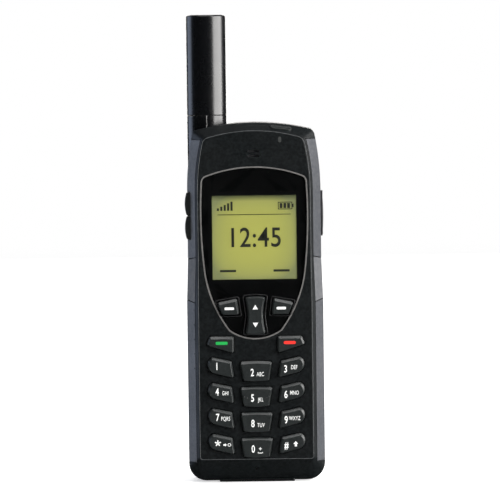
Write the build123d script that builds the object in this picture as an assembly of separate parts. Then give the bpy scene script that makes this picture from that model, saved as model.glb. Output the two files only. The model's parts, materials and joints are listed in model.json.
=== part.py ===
"""Satellite phone: casing, keypad, display, battery and a sliding, swivelling, tilting antenna.

Millimetres. The phone stands upright: +Z runs up its long side, the keys face -Y and +X is to the
right of someone facing the keys. The origin is the middle of the face it stands on.
"""
import math
import os

from build123d import *

os.makedirs("parts", exist_ok=True)

# ---------------------------------------------------------------- casing
BODY_HEIGHT = 143.0
BODY_HALF_WIDTH = 26.5
FRONT_Y = -13.5
BACK_Y = 15.0
PARTING_Y = -2.4
FRONT_BEVEL_Y = -6.0
REAR_BEVEL_Y = 10.0
REAR_EDGE_Y = 13.2
REAR_EDGE_INSET = 1.2
REAR_FACE_INSET = 3.6
FOOT_HEIGHT = 0.55
FOOT_HALF_WIDTH = 15.0
FOOT_FRONT_Y = -7.0
FOOT_BACK_Y = 9.5
SHOULDER_DROP = 27.0
HIP = 0.6
PANEL_HIP = 0.2
HIP_TOP_Z = 88.7
HIP_LOW_Z = 71.7
CORNER_DROP = 3.1
CORNER_TAPER = 2.5
CASING_LOW_RADIUS = 7.0
CASING_TOP_RADIUS = 3.0
WALL = 1.6
CORNER_MIN = 0.8
SEAM_GAP = 0.15
FIT = 0.3

# ---------------------------------------------------------------- front panel
PANEL_SIDE_INSET = 3.9
PANEL_TOP_DROP = 2.8
PANEL_BOTTOM = 9.3
PANEL_LOW_RADIUS = 1.5
PANEL_RISE = 0.45
PANEL_RIM = 0.3
PANEL_RIM_DROP = 0.25
CAVITY_SIDE_INSET = 4.6
CAVITY_BOTTOM = 9.2
CAVITY_TOP_DROP = 6.6

# ---------------------------------------------------------------- side rails
RAIL_INSET = 3.3
RAIL_DEPTH = 1.6
RAIL_SHIFT = 2.2
RAIL_TOP_DROP = 6.5
RAIL_BACK_Y = -2.9
RAIL_BOTTOM = 8.2
RAIL_SEAM = 0.35
GRIP_TOP_INNER = 90.8
GRIP_TOP_OUTER = 88.7
GRIP_LOW_OUTER = 73.0
GRIP_LOW_INNER = 70.4
DIMPLE_TOP = 69.4
DIMPLE_PITCH = 5.9
DIMPLE_COUNT = 5
DIMPLE_RADIUS = 0.35

# ---------------------------------------------------------------- display stack
LENS_TOP = 125.8
LENS_SHOULDER = 121.6
LENS_HALF_WIDTH = 21.4
LENS_TOP_TAPER = 0.5
LENS_WAIST_Z = 83.0
LENS_WAIST_HALF = 20.0
LENS_TAIL_Z = 60.6
LENS_TAIL_HALF = 10.5
LENS_BOTTOM = 57.2
LENS_CORNER_RADIUS = 3.0
LENS_FLANK_HALF = 16.3
LENS_FLANK_Z = 70.5
TRIM_WIDTH = 0.6
LENS_THICKNESS = 0.8
MASK_THICKNESS = 0.2
WINDOW_HALF_WIDTH = 16.7
WINDOW_LOW = 81.0
WINDOW_TOP = 114.3
PANEL_GLASS_MARGIN = 1.3
PANEL_GLASS_THICKNESS = 1.5
FRAME_MARGIN = 1.4
FRAME_THICKNESS = 1.6

# ---------------------------------------------------------------- keys
KEY_FACE_Y = -14.8
KEY_SHOULDER_Y = -13.9
KEY_BEVEL = 0.55
KEY_TOP_SLOPE = 0.5
KEY_CORNER_RADIUS = 0.8
KEY_CLEARANCE = 0.3
KEY_FLANGE = 0.5
KEY_FLANGE_THICKNESS = 0.6
KEY_TRAVEL = 0.5
REST_GAP = 0.1
ROW_PITCH = 10.13
ROW_COUNT = 4
MIDDLE_TOP_Z = 48.3
ROW_GAP = 2.83
MIDDLE_HEIGHT = ROW_PITCH - ROW_GAP
MIDDLE_TOP_HALF = 6.45
MIDDLE_LOW_HALF = 5.25
MIDDLE_CROWN = 0.4
PIP_RADIUS = 0.3
PIP_INSET = 1.5
PIP_SINK = 0.1
SOFT_KEY_TOP = (7.3, 73.5)
SOFT_KEY_CORNER = (15.2, 71.9)
SOFT_KEY_LOW = (13.1, 67.2)
SOFT_KEY_INNER = (6.3, 67.2)
OUTER_KEY_POINTS = ((9.7, 48.7), (17.2, 50.3), (19.2, 47.3), (16.7, 44.0), (8.6, 42.0))
CALL_KEY_POINTS = ((8.6, 58.5), (18.2, 58.5), (19.6, 55.2), (8.6, 51.8))
ROCKER_TOP_Z = 73.9
ROCKER_LOW_Z = 59.5
ROCKER_END_HALF = 4.1
ROCKER_WAIST_HALF = 3.05
ROCKER_AXIS_Y = -12.1
ROCKER_STUB_RADIUS = 0.25
ROCKER_STUB_LENGTH = 0.8
ROCKER_STUB_CLEARANCE = 0.05
SIDE_KEY_PROUD = 1.0
SIDE_KEY_END_PROUD = 0.3
SIDE_KEY_EDGE_RADIUS = 0.5
SIDE_KEY_FRONT_Y = -8.0
SIDE_KEY_BACK_Y = -3.8
VOLUME_TOP_Z = 115.5
VOLUME_SPLIT_Z = 106.3
VOLUME_LOW_Z = 97.0
VOLUME_GAP = 0.4
SIDE_KEY_ROOT_INSET = 3.4
POWER_X = 11.05
POWER_HALF_WIDTH = 4.2
POWER_HALF_DEPTH = 1.7
POWER_RECESS = 0.45
POWER_RECESS_DEPTH = 0.5
POWER_LENGTH = 4.6
MAT_THICKNESS = 0.7
MAT_BUMP_RADIUS = 1.5
DOME_RADIUS = 2.2
DOME_THICKNESS = 0.3
BOARD_THICKNESS = 0.8
KEY_BOARD_HALF_WIDTH = 20.2
KEY_BOARD_LOW = 11.6
KEY_BOARD_TOP = 77.0

# ---------------------------------------------------------------- boards and sound
MAIN_BOARD_FRONT_Y = -4.4
MAIN_BOARD_THICKNESS = 1.0
MAIN_BOARD_HALF_WIDTH = 19.6
MAIN_BOARD_LOW = 13.0
MAIN_BOARD_TOP_DROP = 13.0
SHIELD_X = (-6.0, 18.0)
SHIELD_Z = (84.0, 112.0)
SHIELD_BACK_Y = -0.4
SHIELD_WALL = 0.3
CARD_HALF_WIDTH = 8.0
CARD_Z = (48.0, 66.0)
CARD_BACK_Y = -0.9
CARD_WALL = 0.4
EAR_SLOT_TOP_DROP = 11.2
EAR_SLOT_PITCH = 1.9
EAR_SLOT_WIDTH = 4.4
EAR_SLOT_HEIGHT = 0.9
EAR_SPEAKER_RADIUS = 3.4
EAR_SPEAKER_DEPTH = 3.0
LIGHT_PIPE_X = 10.5
LIGHT_PIPE_TOP_DROP = 6.7
LIGHT_PIPE_SIZE = (1.2, 2.3)
LIGHT_PIPE_LENGTH = 2.2
MIC_Z = 5.6
MIC_HOLE_RADIUS = 0.5
MIC_RADIUS = 2.0
MIC_LENGTH = 1.6
LOUDSPEAKER_X = 10.0
LOUDSPEAKER_TOP_DROP = 23.0
LOUDSPEAKER_RADIUS = 7.5
LOUDSPEAKER_DEPTH = 3.2
SPEAKER_SLOT_COUNT = 5
SPEAKER_SLOT_PITCH = 2.2
SPEAKER_SLOT_HEIGHT = 1.0
SPEAKER_SLOT_HALF = 5.0
REAR_CAVITY_BACK_Y = 12.2
REAR_CAVITY_SIDE_INSET = 4.4
REAR_CAVITY_LOW = 75.6
REAR_CAVITY_TOP_DROP = 12.0

# ---------------------------------------------------------------- battery
BATTERY_HALF_WIDTH = 19.2
BATTERY_LOW = 10.2
BATTERY_TOP = 71.0
BATTERY_FRONT_Y = 3.2
BATTERY_BACK_Y = 12.1
BATTERY_RADIUS = 2.0
BAY_CLEARANCE = 0.3
BAY_FLOOR = 1.5
CONTACT_COUNT = 4
CONTACT_PITCH = 2.6
CONTACT_WIDTH = 1.4
COVER_FRONT_Y = 12.5
COVER_TOP = 74.6
COVER_LOW = 8.4
COVER_TRAVEL = 8.0
COVER_GAP = 0.15
GROOVE_COUNT = 6
GROOVE_PITCH = 2.4
GROOVE_LOW_Z = 14.0
GROOVE_HALF_WIDTH = 11.0
GROOVE_HEIGHT = 1.0
GROOVE_DEPTH = 0.4
HOOK_X = 21.2
HOOK_WIDTH = 1.6
HOOK_LENGTH = 5.0
HOOK_DEPTH = 1.6
HOOK_Z = (22.0, 52.0)
LATCH_X = 6.0
LATCH_HALF_WIDTH = 5.0
LATCH_HEIGHT = 6.0
LATCH_TRAVEL = 2.0
LATCH_THICKNESS = 1.4
LATCH_FACE_GAP = 0.1
LATCH_BASE_RISE = 2.4
LATCH_BOLT_HALF = 3.0
LATCH_BOLT_THICKNESS = 0.6
LATCH_BOLT_DEPTH = 1.5
RIDGE_COUNT = 3
RIDGE_PITCH = 1.4
RIDGE_HEIGHT = 0.6

# ---------------------------------------------------------------- covers over the sockets
FLAP_THICKNESS = 0.85
FLAP_END_THICKNESS = 0.45
FLAP_GAP = 0.15
FLAP_TOP_Z = 115.3
FLAP_LOW_Z = 97.6
FLAP_FRONT_Y = -6.0
FLAP_HINGE_Y = 7.4
HINGE_LUG = 1.5
HINGE_STUB_RADIUS = 0.25
FLAP_CORNER_RADIUS = 1.5
FLAP_PLUG_RADIUS = 1.9
FLAP_PLUG_LENGTH = 1.6
FLAP_PLUG_Y = 1.6
FLAP_SOCKET_RADIUS = 2.5
JACK_RADIUS = 3.0
JACK_BORE_RADIUS = 1.25
JACK_LENGTH = 3.2
JACK_WALL = 0.6
BASE_FLAP_HALF_WIDTH = 7.5
BASE_FLAP_FRONT_Y = 2.0
BASE_FLAP_HINGE_Y = 8.6
BASE_FLAP_THICKNESS = 0.8
BASE_FLAP_LIFT = 0.1
BASE_SOCKET_Y = 4.8
BASE_SOCKET_HALF_WIDTH = 5.2
BASE_SOCKET_HALF_DEPTH = 1.9
BASE_SOCKET_HEIGHT = 7.0
BASE_CONNECTOR_LOW = 3.2
BASE_PLUG_HALF_WIDTH = 4.0
BASE_PLUG_HALF_DEPTH = 1.2
BASE_PLUG_LENGTH = 1.6
PIN_ROW_COUNT = 6
PIN_ROW_PITCH = 1.4

# ---------------------------------------------------------------- antenna
ANTENNA_RADIUS = 7.95
ANTENNA_EDGE_INSET = 0.15
ANTENNA_Y = 6.6
CHANNEL_CLEARANCE = 0.2
CHANNEL_FLOOR_MARGIN = 0.2
ANTENNA_TRAVEL = 42.5
PIN_TOP_DROP = 5.5
PIN_RADIUS = 1.5
PIN_CLEARANCE = 0.05
LAP_GAP = 0.08
HEAD_GAP = 0.35
HEAD_LENGTH = 40.1
HEAD_SEAM = 0.08
HEAD_EDGE_RADIUS = 1.0
HEAD_GROOVE = 0.3
SHEATH_WALL = 1.5
SPIGOT_LENGTH = 4.5
CORE_CLEARANCE = 0.85
CORE_GAP = 1.0
CORE_GROOVE = 0.5
CORE_TURN_COUNT = 9
SPINDLE_RADIUS = 3.0
SPINDLE_CLEARANCE = 0.05
SPINDLE_HEAD_RADIUS = 4.5
SPINDLE_HEAD_THICKNESS = 0.8
CARRIAGE_HEIGHT = 4.0
CARRIAGE_KEY_WIDTH = 2.0
CARRIAGE_KEY_DEPTH = 1.2
TURN_GAP = 0.1
TILT_CLEAR_DROP = 9.5
CORNER_WINDOW_INSET = 2.5

# ---------------------------------------------------------------- gasket and screws
GASKET_INSET = 1.1
GASKET_WIDTH = 0.9
GASKET_THICKNESS = 0.5
SCREW_RADIUS = 1.0
SCREW_HEAD_RADIUS = 1.8
SCREW_HEAD_HEIGHT = 1.4
SCREW_FRONT_Y = -7.5
SCREW_SINK = 0.6
LOW_SCREW_X = 18.0
LOW_SCREW_Z = 5.4
TOP_SCREW_X = (-5.0, 18.0)
TOP_SCREW_DROP = 8.5
SCREW_BOSS_RADIUS = 2.0

# ---------------------------------------------------------------- places that follow from the sizes
PANEL_TOP = BODY_HEIGHT - PANEL_TOP_DROP
PANEL_BACK_Y = FRONT_Y + WALL
CAVITY_TOP = BODY_HEIGHT - CAVITY_TOP_DROP
LENS_BACK_Y = FRONT_Y + LENS_THICKNESS
MASK_BACK_Y = LENS_BACK_Y + MASK_THICKNESS
FLANGE_FRONT_Y = PANEL_BACK_Y + REST_GAP
FLANGE_BACK_Y = FLANGE_FRONT_Y + KEY_FLANGE_THICKNESS
BUMP_FRONT_Y = FLANGE_BACK_Y + KEY_TRAVEL + REST_GAP
MAT_FRONT_Y = BUMP_FRONT_Y + MAT_THICKNESS
MAT_BACK_Y = MAT_FRONT_Y + MAT_THICKNESS
KEY_BOARD_FRONT_Y = MAT_BACK_Y + DOME_THICKNESS
KEY_BOARD_BACK_Y = KEY_BOARD_FRONT_Y + BOARD_THICKNESS
ROCKER_MIDDLE_Z = (ROCKER_TOP_Z + ROCKER_LOW_Z) / 2
ANTENNA_X = -(BODY_HALF_WIDTH - ANTENNA_EDGE_INSET - ANTENNA_RADIUS)
CHANNEL_RADIUS = ANTENNA_RADIUS + CHANNEL_CLEARANCE
PIN_Z = BODY_HEIGHT - PIN_TOP_DROP
HEAD_SEAM_Z = PIN_Z + ANTENNA_RADIUS + HEAD_GAP
HEAD_TOP_Z = HEAD_SEAM_Z + HEAD_LENGTH
POST_SHOULDER_Z = PIN_Z - ANTENNA_RADIUS - HEAD_GAP
SPINDLE_HEAD_Z = COVER_TOP + FIT + ANTENNA_TRAVEL - SPINDLE_HEAD_THICKNESS
CHANNEL_FLOOR_Z = SPINDLE_HEAD_Z - ANTENNA_TRAVEL - CHANNEL_FLOOR_MARGIN
CARRIAGE_LOW_Z = SPINDLE_HEAD_Z + SPINDLE_HEAD_THICKNESS + TURN_GAP
CARRIAGE_TOP_Z = CARRIAGE_LOW_Z + CARRIAGE_HEIGHT
POST_LOW_Z = CARRIAGE_TOP_Z + TURN_GAP
BIG = 4 * BODY_HEIGHT


# ---------------------------------------------------------------- helpers
def at_depth(sketch, y):
    """Stands a flat X, Z drawing up at depth y."""
    return Plane.XZ.offset(-y) * sketch


def slab(sketch, front, back):
    """A drawing thickened from depth front to depth back."""
    return extrude(at_depth(sketch, back), amount=back - front, dir=(0, -1, 0))


def ruled(*sections):
    """A straight-sided solid between drawings at two depths."""
    return loft([at_depth(sketch, y) for sketch, y in sections], ruled=True)


def block(x, y, z):
    """A box from its two limits along each axis."""
    size = (x[1] - x[0], y[1] - y[0], z[1] - z[0])
    middle = ((x[0] + x[1]) / 2, (y[0] + y[1]) / 2, (z[0] + z[1]) / 2)
    return Pos(*middle) * Box(*size)


def rod(radius, centre, low, high):
    """An upright cylinder about centre (x, y)."""
    return Pos(centre[0], centre[1], (low + high) / 2) * Cylinder(radius, high - low)


def cross_rod(radius, x, y, z):
    """A cylinder along X between two limits."""
    return Pos((x[0] + x[1]) / 2, y, z) * Rot(0, 90, 0) * Cylinder(radius, x[1] - x[0])


def depth_rod(radius, x, y, z):
    """A cylinder along Y between two limits."""
    return Pos(x, (y[0] + y[1]) / 2, z) * Rot(90, 0, 0) * Cylinder(radius, y[1] - y[0])


def outline(half, low, high, taper, low_radius, top_radius, inset=0.0, hip=PANEL_HIP):
    """The phone's front view: wider below its grips, with tapering shoulders and an arched top."""
    half_in = half - inset
    shoulder = BODY_HEIGHT - SHOULDER_DROP
    corner_x = half_in - taper
    corner_z = high - CORNER_DROP - inset
    sides = [
        TangentArc((side * half_in, shoulder), (side * corner_x, corner_z), tangent=(0, 1))
        for side in (1, -1)
    ]
    arch = ThreePointArc((corner_x, corner_z), (0, high - inset), (-corner_x, corner_z))
    hip_in = half_in + hip
    base = Polyline(
        (-half_in, shoulder), (-half_in, HIP_TOP_Z), (-hip_in, HIP_LOW_Z), (-hip_in, low + inset),
        (hip_in, low + inset), (hip_in, HIP_LOW_Z), (half_in, HIP_TOP_Z), (half_in, shoulder),
    )
    face = make_face([*sides, arch, base])
    by_height = face.vertices().sort_by(Axis.Y)
    face = fillet(by_height[:2], max(low_radius - inset, CORNER_MIN))
    by_height = face.vertices().sort_by(Axis.Y)
    return fillet(by_height[-2:], max(top_radius - inset, CORNER_MIN))


def casing(inset=0.0):
    """The casing's outline, or one inside it."""
    return outline(
        BODY_HALF_WIDTH, FOOT_HEIGHT, BODY_HEIGHT, CORNER_TAPER, CASING_LOW_RADIUS,
        CASING_TOP_RADIUS, inset, HIP,
    )


def panel(inset=0.0):
    """The flat front panel's outline, or one inside it."""
    return outline(
        BODY_HALF_WIDTH - PANEL_SIDE_INSET, PANEL_BOTTOM, PANEL_TOP, CORNER_TAPER,
        PANEL_LOW_RADIUS, CASING_TOP_RADIUS, inset,
    )


nodes = {}


def keep(name, shape):
    """Names a finished piece."""
    nodes[name] = shape
    return shape


def both_sides(x):
    """The same distance to the left and to the right."""
    return (-x, x)


# ---------------------------------------------------------------- casing solids
panel_foot_y = FRONT_Y + PANEL_RISE
bevelled_front = ruled((panel(), panel_foot_y), (casing(), FRONT_BEVEL_Y)) + slab(
    casing(), FRONT_BEVEL_Y, PARTING_Y
)
panel_rise = slab(panel(PANEL_RIM), FRONT_Y + PANEL_RIM_DROP, panel_foot_y) + ruled(
    (panel(2 * PANEL_RIM), FRONT_Y), (panel(PANEL_RIM), FRONT_Y + PANEL_RIM_DROP)
)
front_solid = bevelled_front + panel_rise
rear_solid = (
    slab(casing(), PARTING_Y, REAR_BEVEL_Y)
    + ruled((casing(), REAR_BEVEL_Y), (casing(REAR_EDGE_INSET), REAR_EDGE_Y))
    + ruled((casing(REAR_EDGE_INSET), REAR_EDGE_Y), (casing(REAR_FACE_INSET), BACK_Y))
)
foot = block(both_sides(FOOT_HALF_WIDTH), (FOOT_FRONT_Y, FOOT_BACK_Y), (0, 2 * FOOT_HEIGHT))
foot = chamfer(foot.edges().filter_by(Axis.Z), FOOT_HEIGHT)

# The rails are a skin over the bevelled sides, divided by slanted seams.
core = Pos(0, RAIL_SHIFT, 0) * bevelled_front & slab(casing(RAIL_DEPTH), FRONT_Y - WALL, PARTING_Y + WALL)
skin = bevelled_front - core
rail_line = casing(RAIL_INSET)
rail_edge = slab(rail_line, FRONT_Y - WALL, PARTING_Y + WALL)
rail_depths = (FRONT_Y - WALL, RAIL_BACK_Y)


def side_band(side, outer_low, inner_low, outer_top, inner_top, gap=0.0):
    """A block over one side of the phone with slanted ends."""
    inner = side * (BODY_HALF_WIDTH - 2 * RAIL_INSET)
    outer = side * (BODY_HALF_WIDTH + SIDE_KEY_PROUD)
    band = Polygon(
        (inner, inner_low + gap), (outer, outer_low + gap),
        (outer, outer_top - gap), (inner, inner_top - gap), align=None,
    )
    return slab(band, *rail_depths)


RAIL_TOP = BODY_HEIGHT - RAIL_TOP_DROP
SEAM_LEVELS = [
    (RAIL_BOTTOM, RAIL_BOTTOM),
    (GRIP_LOW_OUTER, GRIP_LOW_INNER),
    (GRIP_TOP_OUTER, GRIP_TOP_INNER),
    (RAIL_TOP, RAIL_TOP),
]
rail_room = skin - rail_edge
rail_skin = rail_room & (skin - slab(casing(RAIL_INSET - SEAM_GAP), FRONT_Y - WALL, PARTING_Y + WALL))
rails = {}
rail_pocket = None
for side, side_name in ((-1, "left"), (1, "right")):
    room = rail_room & side_band(side, RAIL_BOTTOM, RAIL_BOTTOM, RAIL_TOP, RAIL_TOP)
    rail_pocket = room if rail_pocket is None else rail_pocket + room
    for level, piece_name in enumerate(("rail_lower", "grip_insert", "rail_upper")):
        low, top = SEAM_LEVELS[level], SEAM_LEVELS[level + 1]
        rails[f"{piece_name}_{side_name}"] = rail_skin & side_band(side, *low, *top, RAIL_SEAM / 2)

for index in range(DIMPLE_COUNT):
    dimple_z = DIMPLE_TOP - index * DIMPLE_PITCH
    dimple_x = -(BODY_HALF_WIDTH - RAIL_INSET + DIMPLE_RADIUS * 3)
    rails["rail_lower_left"] -= Pos(dimple_x, FRONT_Y + RAIL_DEPTH, dimple_z) * Sphere(DIMPLE_RADIUS * 2)

front_housing = front_solid + (foot & slab(Rectangle(BIG, BIG), FRONT_Y, PARTING_Y)) - rail_pocket
front_cavity = outline(
    BODY_HALF_WIDTH - CAVITY_SIDE_INSET, CAVITY_BOTTOM, CAVITY_TOP, CORNER_TAPER,
    PANEL_LOW_RADIUS, CASING_TOP_RADIUS,
)
front_housing -= slab(front_cavity, PANEL_BACK_Y, PARTING_Y)

# ---------------------------------------------------------------- lens, mask, trim and display


def lens_outline():
    """The shield: arched top, full shoulders, and a tail that narrows round the rocker key."""
    top_x = LENS_HALF_WIDTH - LENS_TOP_TAPER
    half = [
        [
            ThreePointArc(
                (side * top_x, LENS_SHOULDER),
                (side * LENS_HALF_WIDTH, (LENS_SHOULDER + LENS_WAIST_Z) / 2),
                (side * LENS_WAIST_HALF, LENS_WAIST_Z),
            ),
            ThreePointArc(
                (side * LENS_WAIST_HALF, LENS_WAIST_Z),
                (side * LENS_FLANK_HALF, LENS_FLANK_Z),
                (side * LENS_TAIL_HALF, LENS_TAIL_Z),
            ),
        ]
        for side in (1, -1)
    ]
    top = ThreePointArc((top_x, LENS_SHOULDER), (0, LENS_TOP), (-top_x, LENS_SHOULDER))
    tail = ThreePointArc((LENS_TAIL_HALF, LENS_TAIL_Z), (0, LENS_BOTTOM), (-LENS_TAIL_HALF, LENS_TAIL_Z))
    face = make_face([*half[0], *half[1], top, tail])
    return fillet(face.vertices().sort_by(Axis.Y)[-2:], LENS_CORNER_RADIUS)


def soft_key_face(side):
    """A soft key: a slanted four-sided cap beside the rocker."""
    return key_outline(
        (side * SOFT_KEY_TOP[0], SOFT_KEY_TOP[1]), (side * SOFT_KEY_CORNER[0], SOFT_KEY_CORNER[1]),
        (side * SOFT_KEY_LOW[0], SOFT_KEY_LOW[1]), (side * SOFT_KEY_INNER[0], SOFT_KEY_INNER[1]),
    )


def key_outline(*corners):
    """A key cap with straight sides and rounded corners."""
    face = make_face(Polyline(*corners, close=True))
    return fillet(face.vertices(), KEY_CORNER_RADIUS)


def rocker_face():
    """The rocker: full at both ends, waisted in the middle."""
    flanks = [
        ThreePointArc(
            (side * ROCKER_END_HALF, ROCKER_TOP_Z), (side * ROCKER_WAIST_HALF, ROCKER_MIDDLE_Z),
            (side * ROCKER_END_HALF, ROCKER_LOW_Z),
        )
        for side in (1, -1)
    ]
    ends = [
        ThreePointArc(
            (-ROCKER_END_HALF, z), (0, z + crown), (ROCKER_END_HALF, z),
        )
        for z, crown in ((ROCKER_TOP_Z, MIDDLE_CROWN), (ROCKER_LOW_Z, -MIDDLE_CROWN))
    ]
    face = make_face([*flanks, *ends])
    return fillet(face.vertices(), KEY_CORNER_RADIUS)


def middle_key_face(row):
    """A key of the middle column: wider at the top, with a slight crown."""
    top = MIDDLE_TOP_Z - row * ROW_PITCH
    low = top - MIDDLE_HEIGHT
    edges = [
        ThreePointArc((-MIDDLE_TOP_HALF, top), (0, top + MIDDLE_CROWN), (MIDDLE_TOP_HALF, top)),
        Line((MIDDLE_TOP_HALF, top), (MIDDLE_LOW_HALF, low)),
        ThreePointArc((MIDDLE_LOW_HALF, low), (0, low - MIDDLE_CROWN), (-MIDDLE_LOW_HALF, low)),
        Line((-MIDDLE_LOW_HALF, low), (-MIDDLE_TOP_HALF, top)),
    ]
    face = make_face(edges)
    return fillet(face.vertices(), KEY_CORNER_RADIUS)


def outer_key_face(side, row):
    """A key of the left or right column: a wing that ends in a rounded tip."""
    drop = row * ROW_PITCH
    inner_top, outer_top, tip, outer_low, inner_low = (
        (side * x, z - drop) for x, z in OUTER_KEY_POINTS
    )
    edges = [
        Line(inner_top, outer_top),
        ThreePointArc(outer_top, tip, outer_low),
        Line(outer_low, inner_low),
        Line(inner_low, inner_top),
    ]
    face = make_face(edges)
    return fillet(face.vertices(), KEY_CORNER_RADIUS)


def call_key_face(side):
    """The send or end key: a flat-topped wing under the lens."""
    return key_outline(*((side * x, z) for x, z in CALL_KEY_POINTS))


lens_face = lens_outline()
glass_face = offset(lens_face, -TRIM_WIDTH)
inner_trim_face = offset(lens_face, -TRIM_WIDTH + SEAM_GAP / 3)

KEY_FACES = {
    "soft_key_left": soft_key_face(-1),
    "soft_key_right": soft_key_face(1),
    "key_send": call_key_face(-1),
    "key_end": call_key_face(1),
}
KEY_NAMES = [("1", "2", "3"), ("4", "5", "6"), ("7", "8", "9"), ("star", "0", "hash")]
for row in range(ROW_COUNT):
    left_name, middle_name, right_name = KEY_NAMES[row]
    KEY_FACES[f"key_{left_name}"] = outer_key_face(-1, row)
    KEY_FACES[f"key_{middle_name}"] = middle_key_face(row)
    KEY_FACES[f"key_{right_name}"] = outer_key_face(1, row)
holes = {name: offset(face, KEY_CLEARANCE) for name, face in KEY_FACES.items()}
holes["nav_rocker"] = offset(rocker_face(), KEY_CLEARANCE)

glass = slab(glass_face, FRONT_Y, LENS_BACK_Y)
mask = slab(glass_face, LENS_BACK_Y, MASK_BACK_Y)
for name in ("soft_key_left", "soft_key_right", "nav_rocker"):
    opening = slab(holes[name], FRONT_Y - WALL, PANEL_BACK_Y)
    glass -= opening
    mask -= opening
window = Pos(0, (WINDOW_LOW + WINDOW_TOP) / 2) * Rectangle(
    2 * WINDOW_HALF_WIDTH, WINDOW_TOP - WINDOW_LOW
)
mask -= slab(window, LENS_BACK_Y - WALL, PANEL_BACK_Y)
trim = slab(lens_face, FRONT_Y, MASK_BACK_Y) - slab(inner_trim_face, FRONT_Y - WALL, PANEL_BACK_Y)
front_housing -= slab(lens_face, FRONT_Y - WALL, MASK_BACK_Y)
glass_room = offset(window, PANEL_GLASS_MARGIN + SEAM_GAP)
front_housing -= slab(glass_room, FRONT_Y, PANEL_BACK_Y)
for hole in holes.values():
    front_housing -= slab(hole, FRONT_Y - WALL, PANEL_BACK_Y + WALL)

keep("display_lens", glass)
keep("lens_mask", mask)
keep("lens_trim", trim)
panel_glass_back = MASK_BACK_Y + PANEL_GLASS_THICKNESS
keep("lcd_panel", slab(offset(window, PANEL_GLASS_MARGIN), MASK_BACK_Y, panel_glass_back))
frame_face = offset(window, PANEL_GLASS_MARGIN + FRAME_MARGIN)
frame_pocket = offset(window, PANEL_GLASS_MARGIN - FRAME_MARGIN)
lcd_frame = slab(frame_face, panel_glass_back, panel_glass_back + FRAME_THICKNESS)
lcd_frame -= slab(frame_pocket, panel_glass_back, panel_glass_back + FRAME_THICKNESS / 2)
keep("lcd_frame", lcd_frame)

# ---------------------------------------------------------------- keys that travel straight in


def key_cap(face):
    """A bevelled cap, its skirt through the panel and a flange that holds it in."""
    top = Pos(0, -KEY_TOP_SLOPE) * offset(face, -KEY_BEVEL)
    cap = slab(face, KEY_SHOULDER_Y, FLANGE_FRONT_Y) + ruled((top, KEY_FACE_Y), (face, KEY_SHOULDER_Y))
    return cap + slab(offset(face, KEY_FLANGE), FLANGE_FRONT_Y, FLANGE_BACK_Y)


for name, face in KEY_FACES.items():
    cap = key_cap(face)
    if name == "key_5":
        pip_z = MIDDLE_TOP_Z - ROW_PITCH - MIDDLE_HEIGHT / 2 - KEY_TOP_SLOPE
        for pip_x in both_sides(MIDDLE_LOW_HALF - PIP_INSET):
            cap += Pos(pip_x, KEY_FACE_Y + PIP_SINK, pip_z) * Sphere(PIP_RADIUS)
    keep(name, cap)

rocker_top = offset(rocker_face(), -KEY_BEVEL)
rocker = slab(rocker_face(), KEY_SHOULDER_Y, FLANGE_FRONT_Y) + ruled(
    (rocker_top, KEY_FACE_Y), (rocker_face(), KEY_SHOULDER_Y)
)
rocker_stub_half = ROCKER_WAIST_HALF + ROCKER_STUB_LENGTH
rocker += cross_rod(ROCKER_STUB_RADIUS, both_sides(rocker_stub_half), ROCKER_AXIS_Y, ROCKER_MIDDLE_Z)
notch_half = ROCKER_STUB_RADIUS + ROCKER_STUB_CLEARANCE
front_housing -= block(
    both_sides(rocker_stub_half + SEAM_GAP), (ROCKER_AXIS_Y - notch_half, PANEL_BACK_Y),
    (ROCKER_MIDDLE_Z - notch_half, ROCKER_MIDDLE_Z + notch_half),
)
keep("nav_rocker", rocker)

# ---------------------------------------------------------------- side and power keys
side_key_depths = (SIDE_KEY_FRONT_Y, SIDE_KEY_BACK_Y)


def crowned_face(root_x, end_x, crown_x, levels):
    """A block's front view between two levels, with one end bulging to its crown."""
    low, top = levels
    back = Polyline((end_x, top), (root_x, top), (root_x, low), (end_x, low))
    return make_face([back, ThreePointArc((end_x, low), (crown_x, (low + top) / 2), (end_x, top))])


volume_levels = {
    "volume_up_key": (VOLUME_SPLIT_Z + VOLUME_GAP / 2, VOLUME_TOP_Z),
    "volume_down_key": (VOLUME_LOW_Z, VOLUME_SPLIT_Z - VOLUME_GAP / 2),
}
for name, levels in volume_levels.items():
    key_outline = crowned_face(
        -BODY_HALF_WIDTH + SIDE_KEY_ROOT_INSET, -BODY_HALF_WIDTH - SIDE_KEY_END_PROUD,
        -BODY_HALF_WIDTH - SIDE_KEY_PROUD, levels,
    )
    side_key = slab(key_outline, *side_key_depths)
    keep(name, fillet(side_key.faces().sort_by(Axis.X)[0].edges(), SIDE_KEY_EDGE_RADIUS))
volume_hole = block(
    (-BIG, -BODY_HALF_WIDTH + CAVITY_SIDE_INSET + WALL),
    (SIDE_KEY_FRONT_Y - FIT, SIDE_KEY_BACK_Y + FIT),
    (VOLUME_LOW_Z - FIT, VOLUME_TOP_Z + FIT),
)
front_housing -= volume_hole
rails["rail_upper_left"] -= volume_hole

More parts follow.
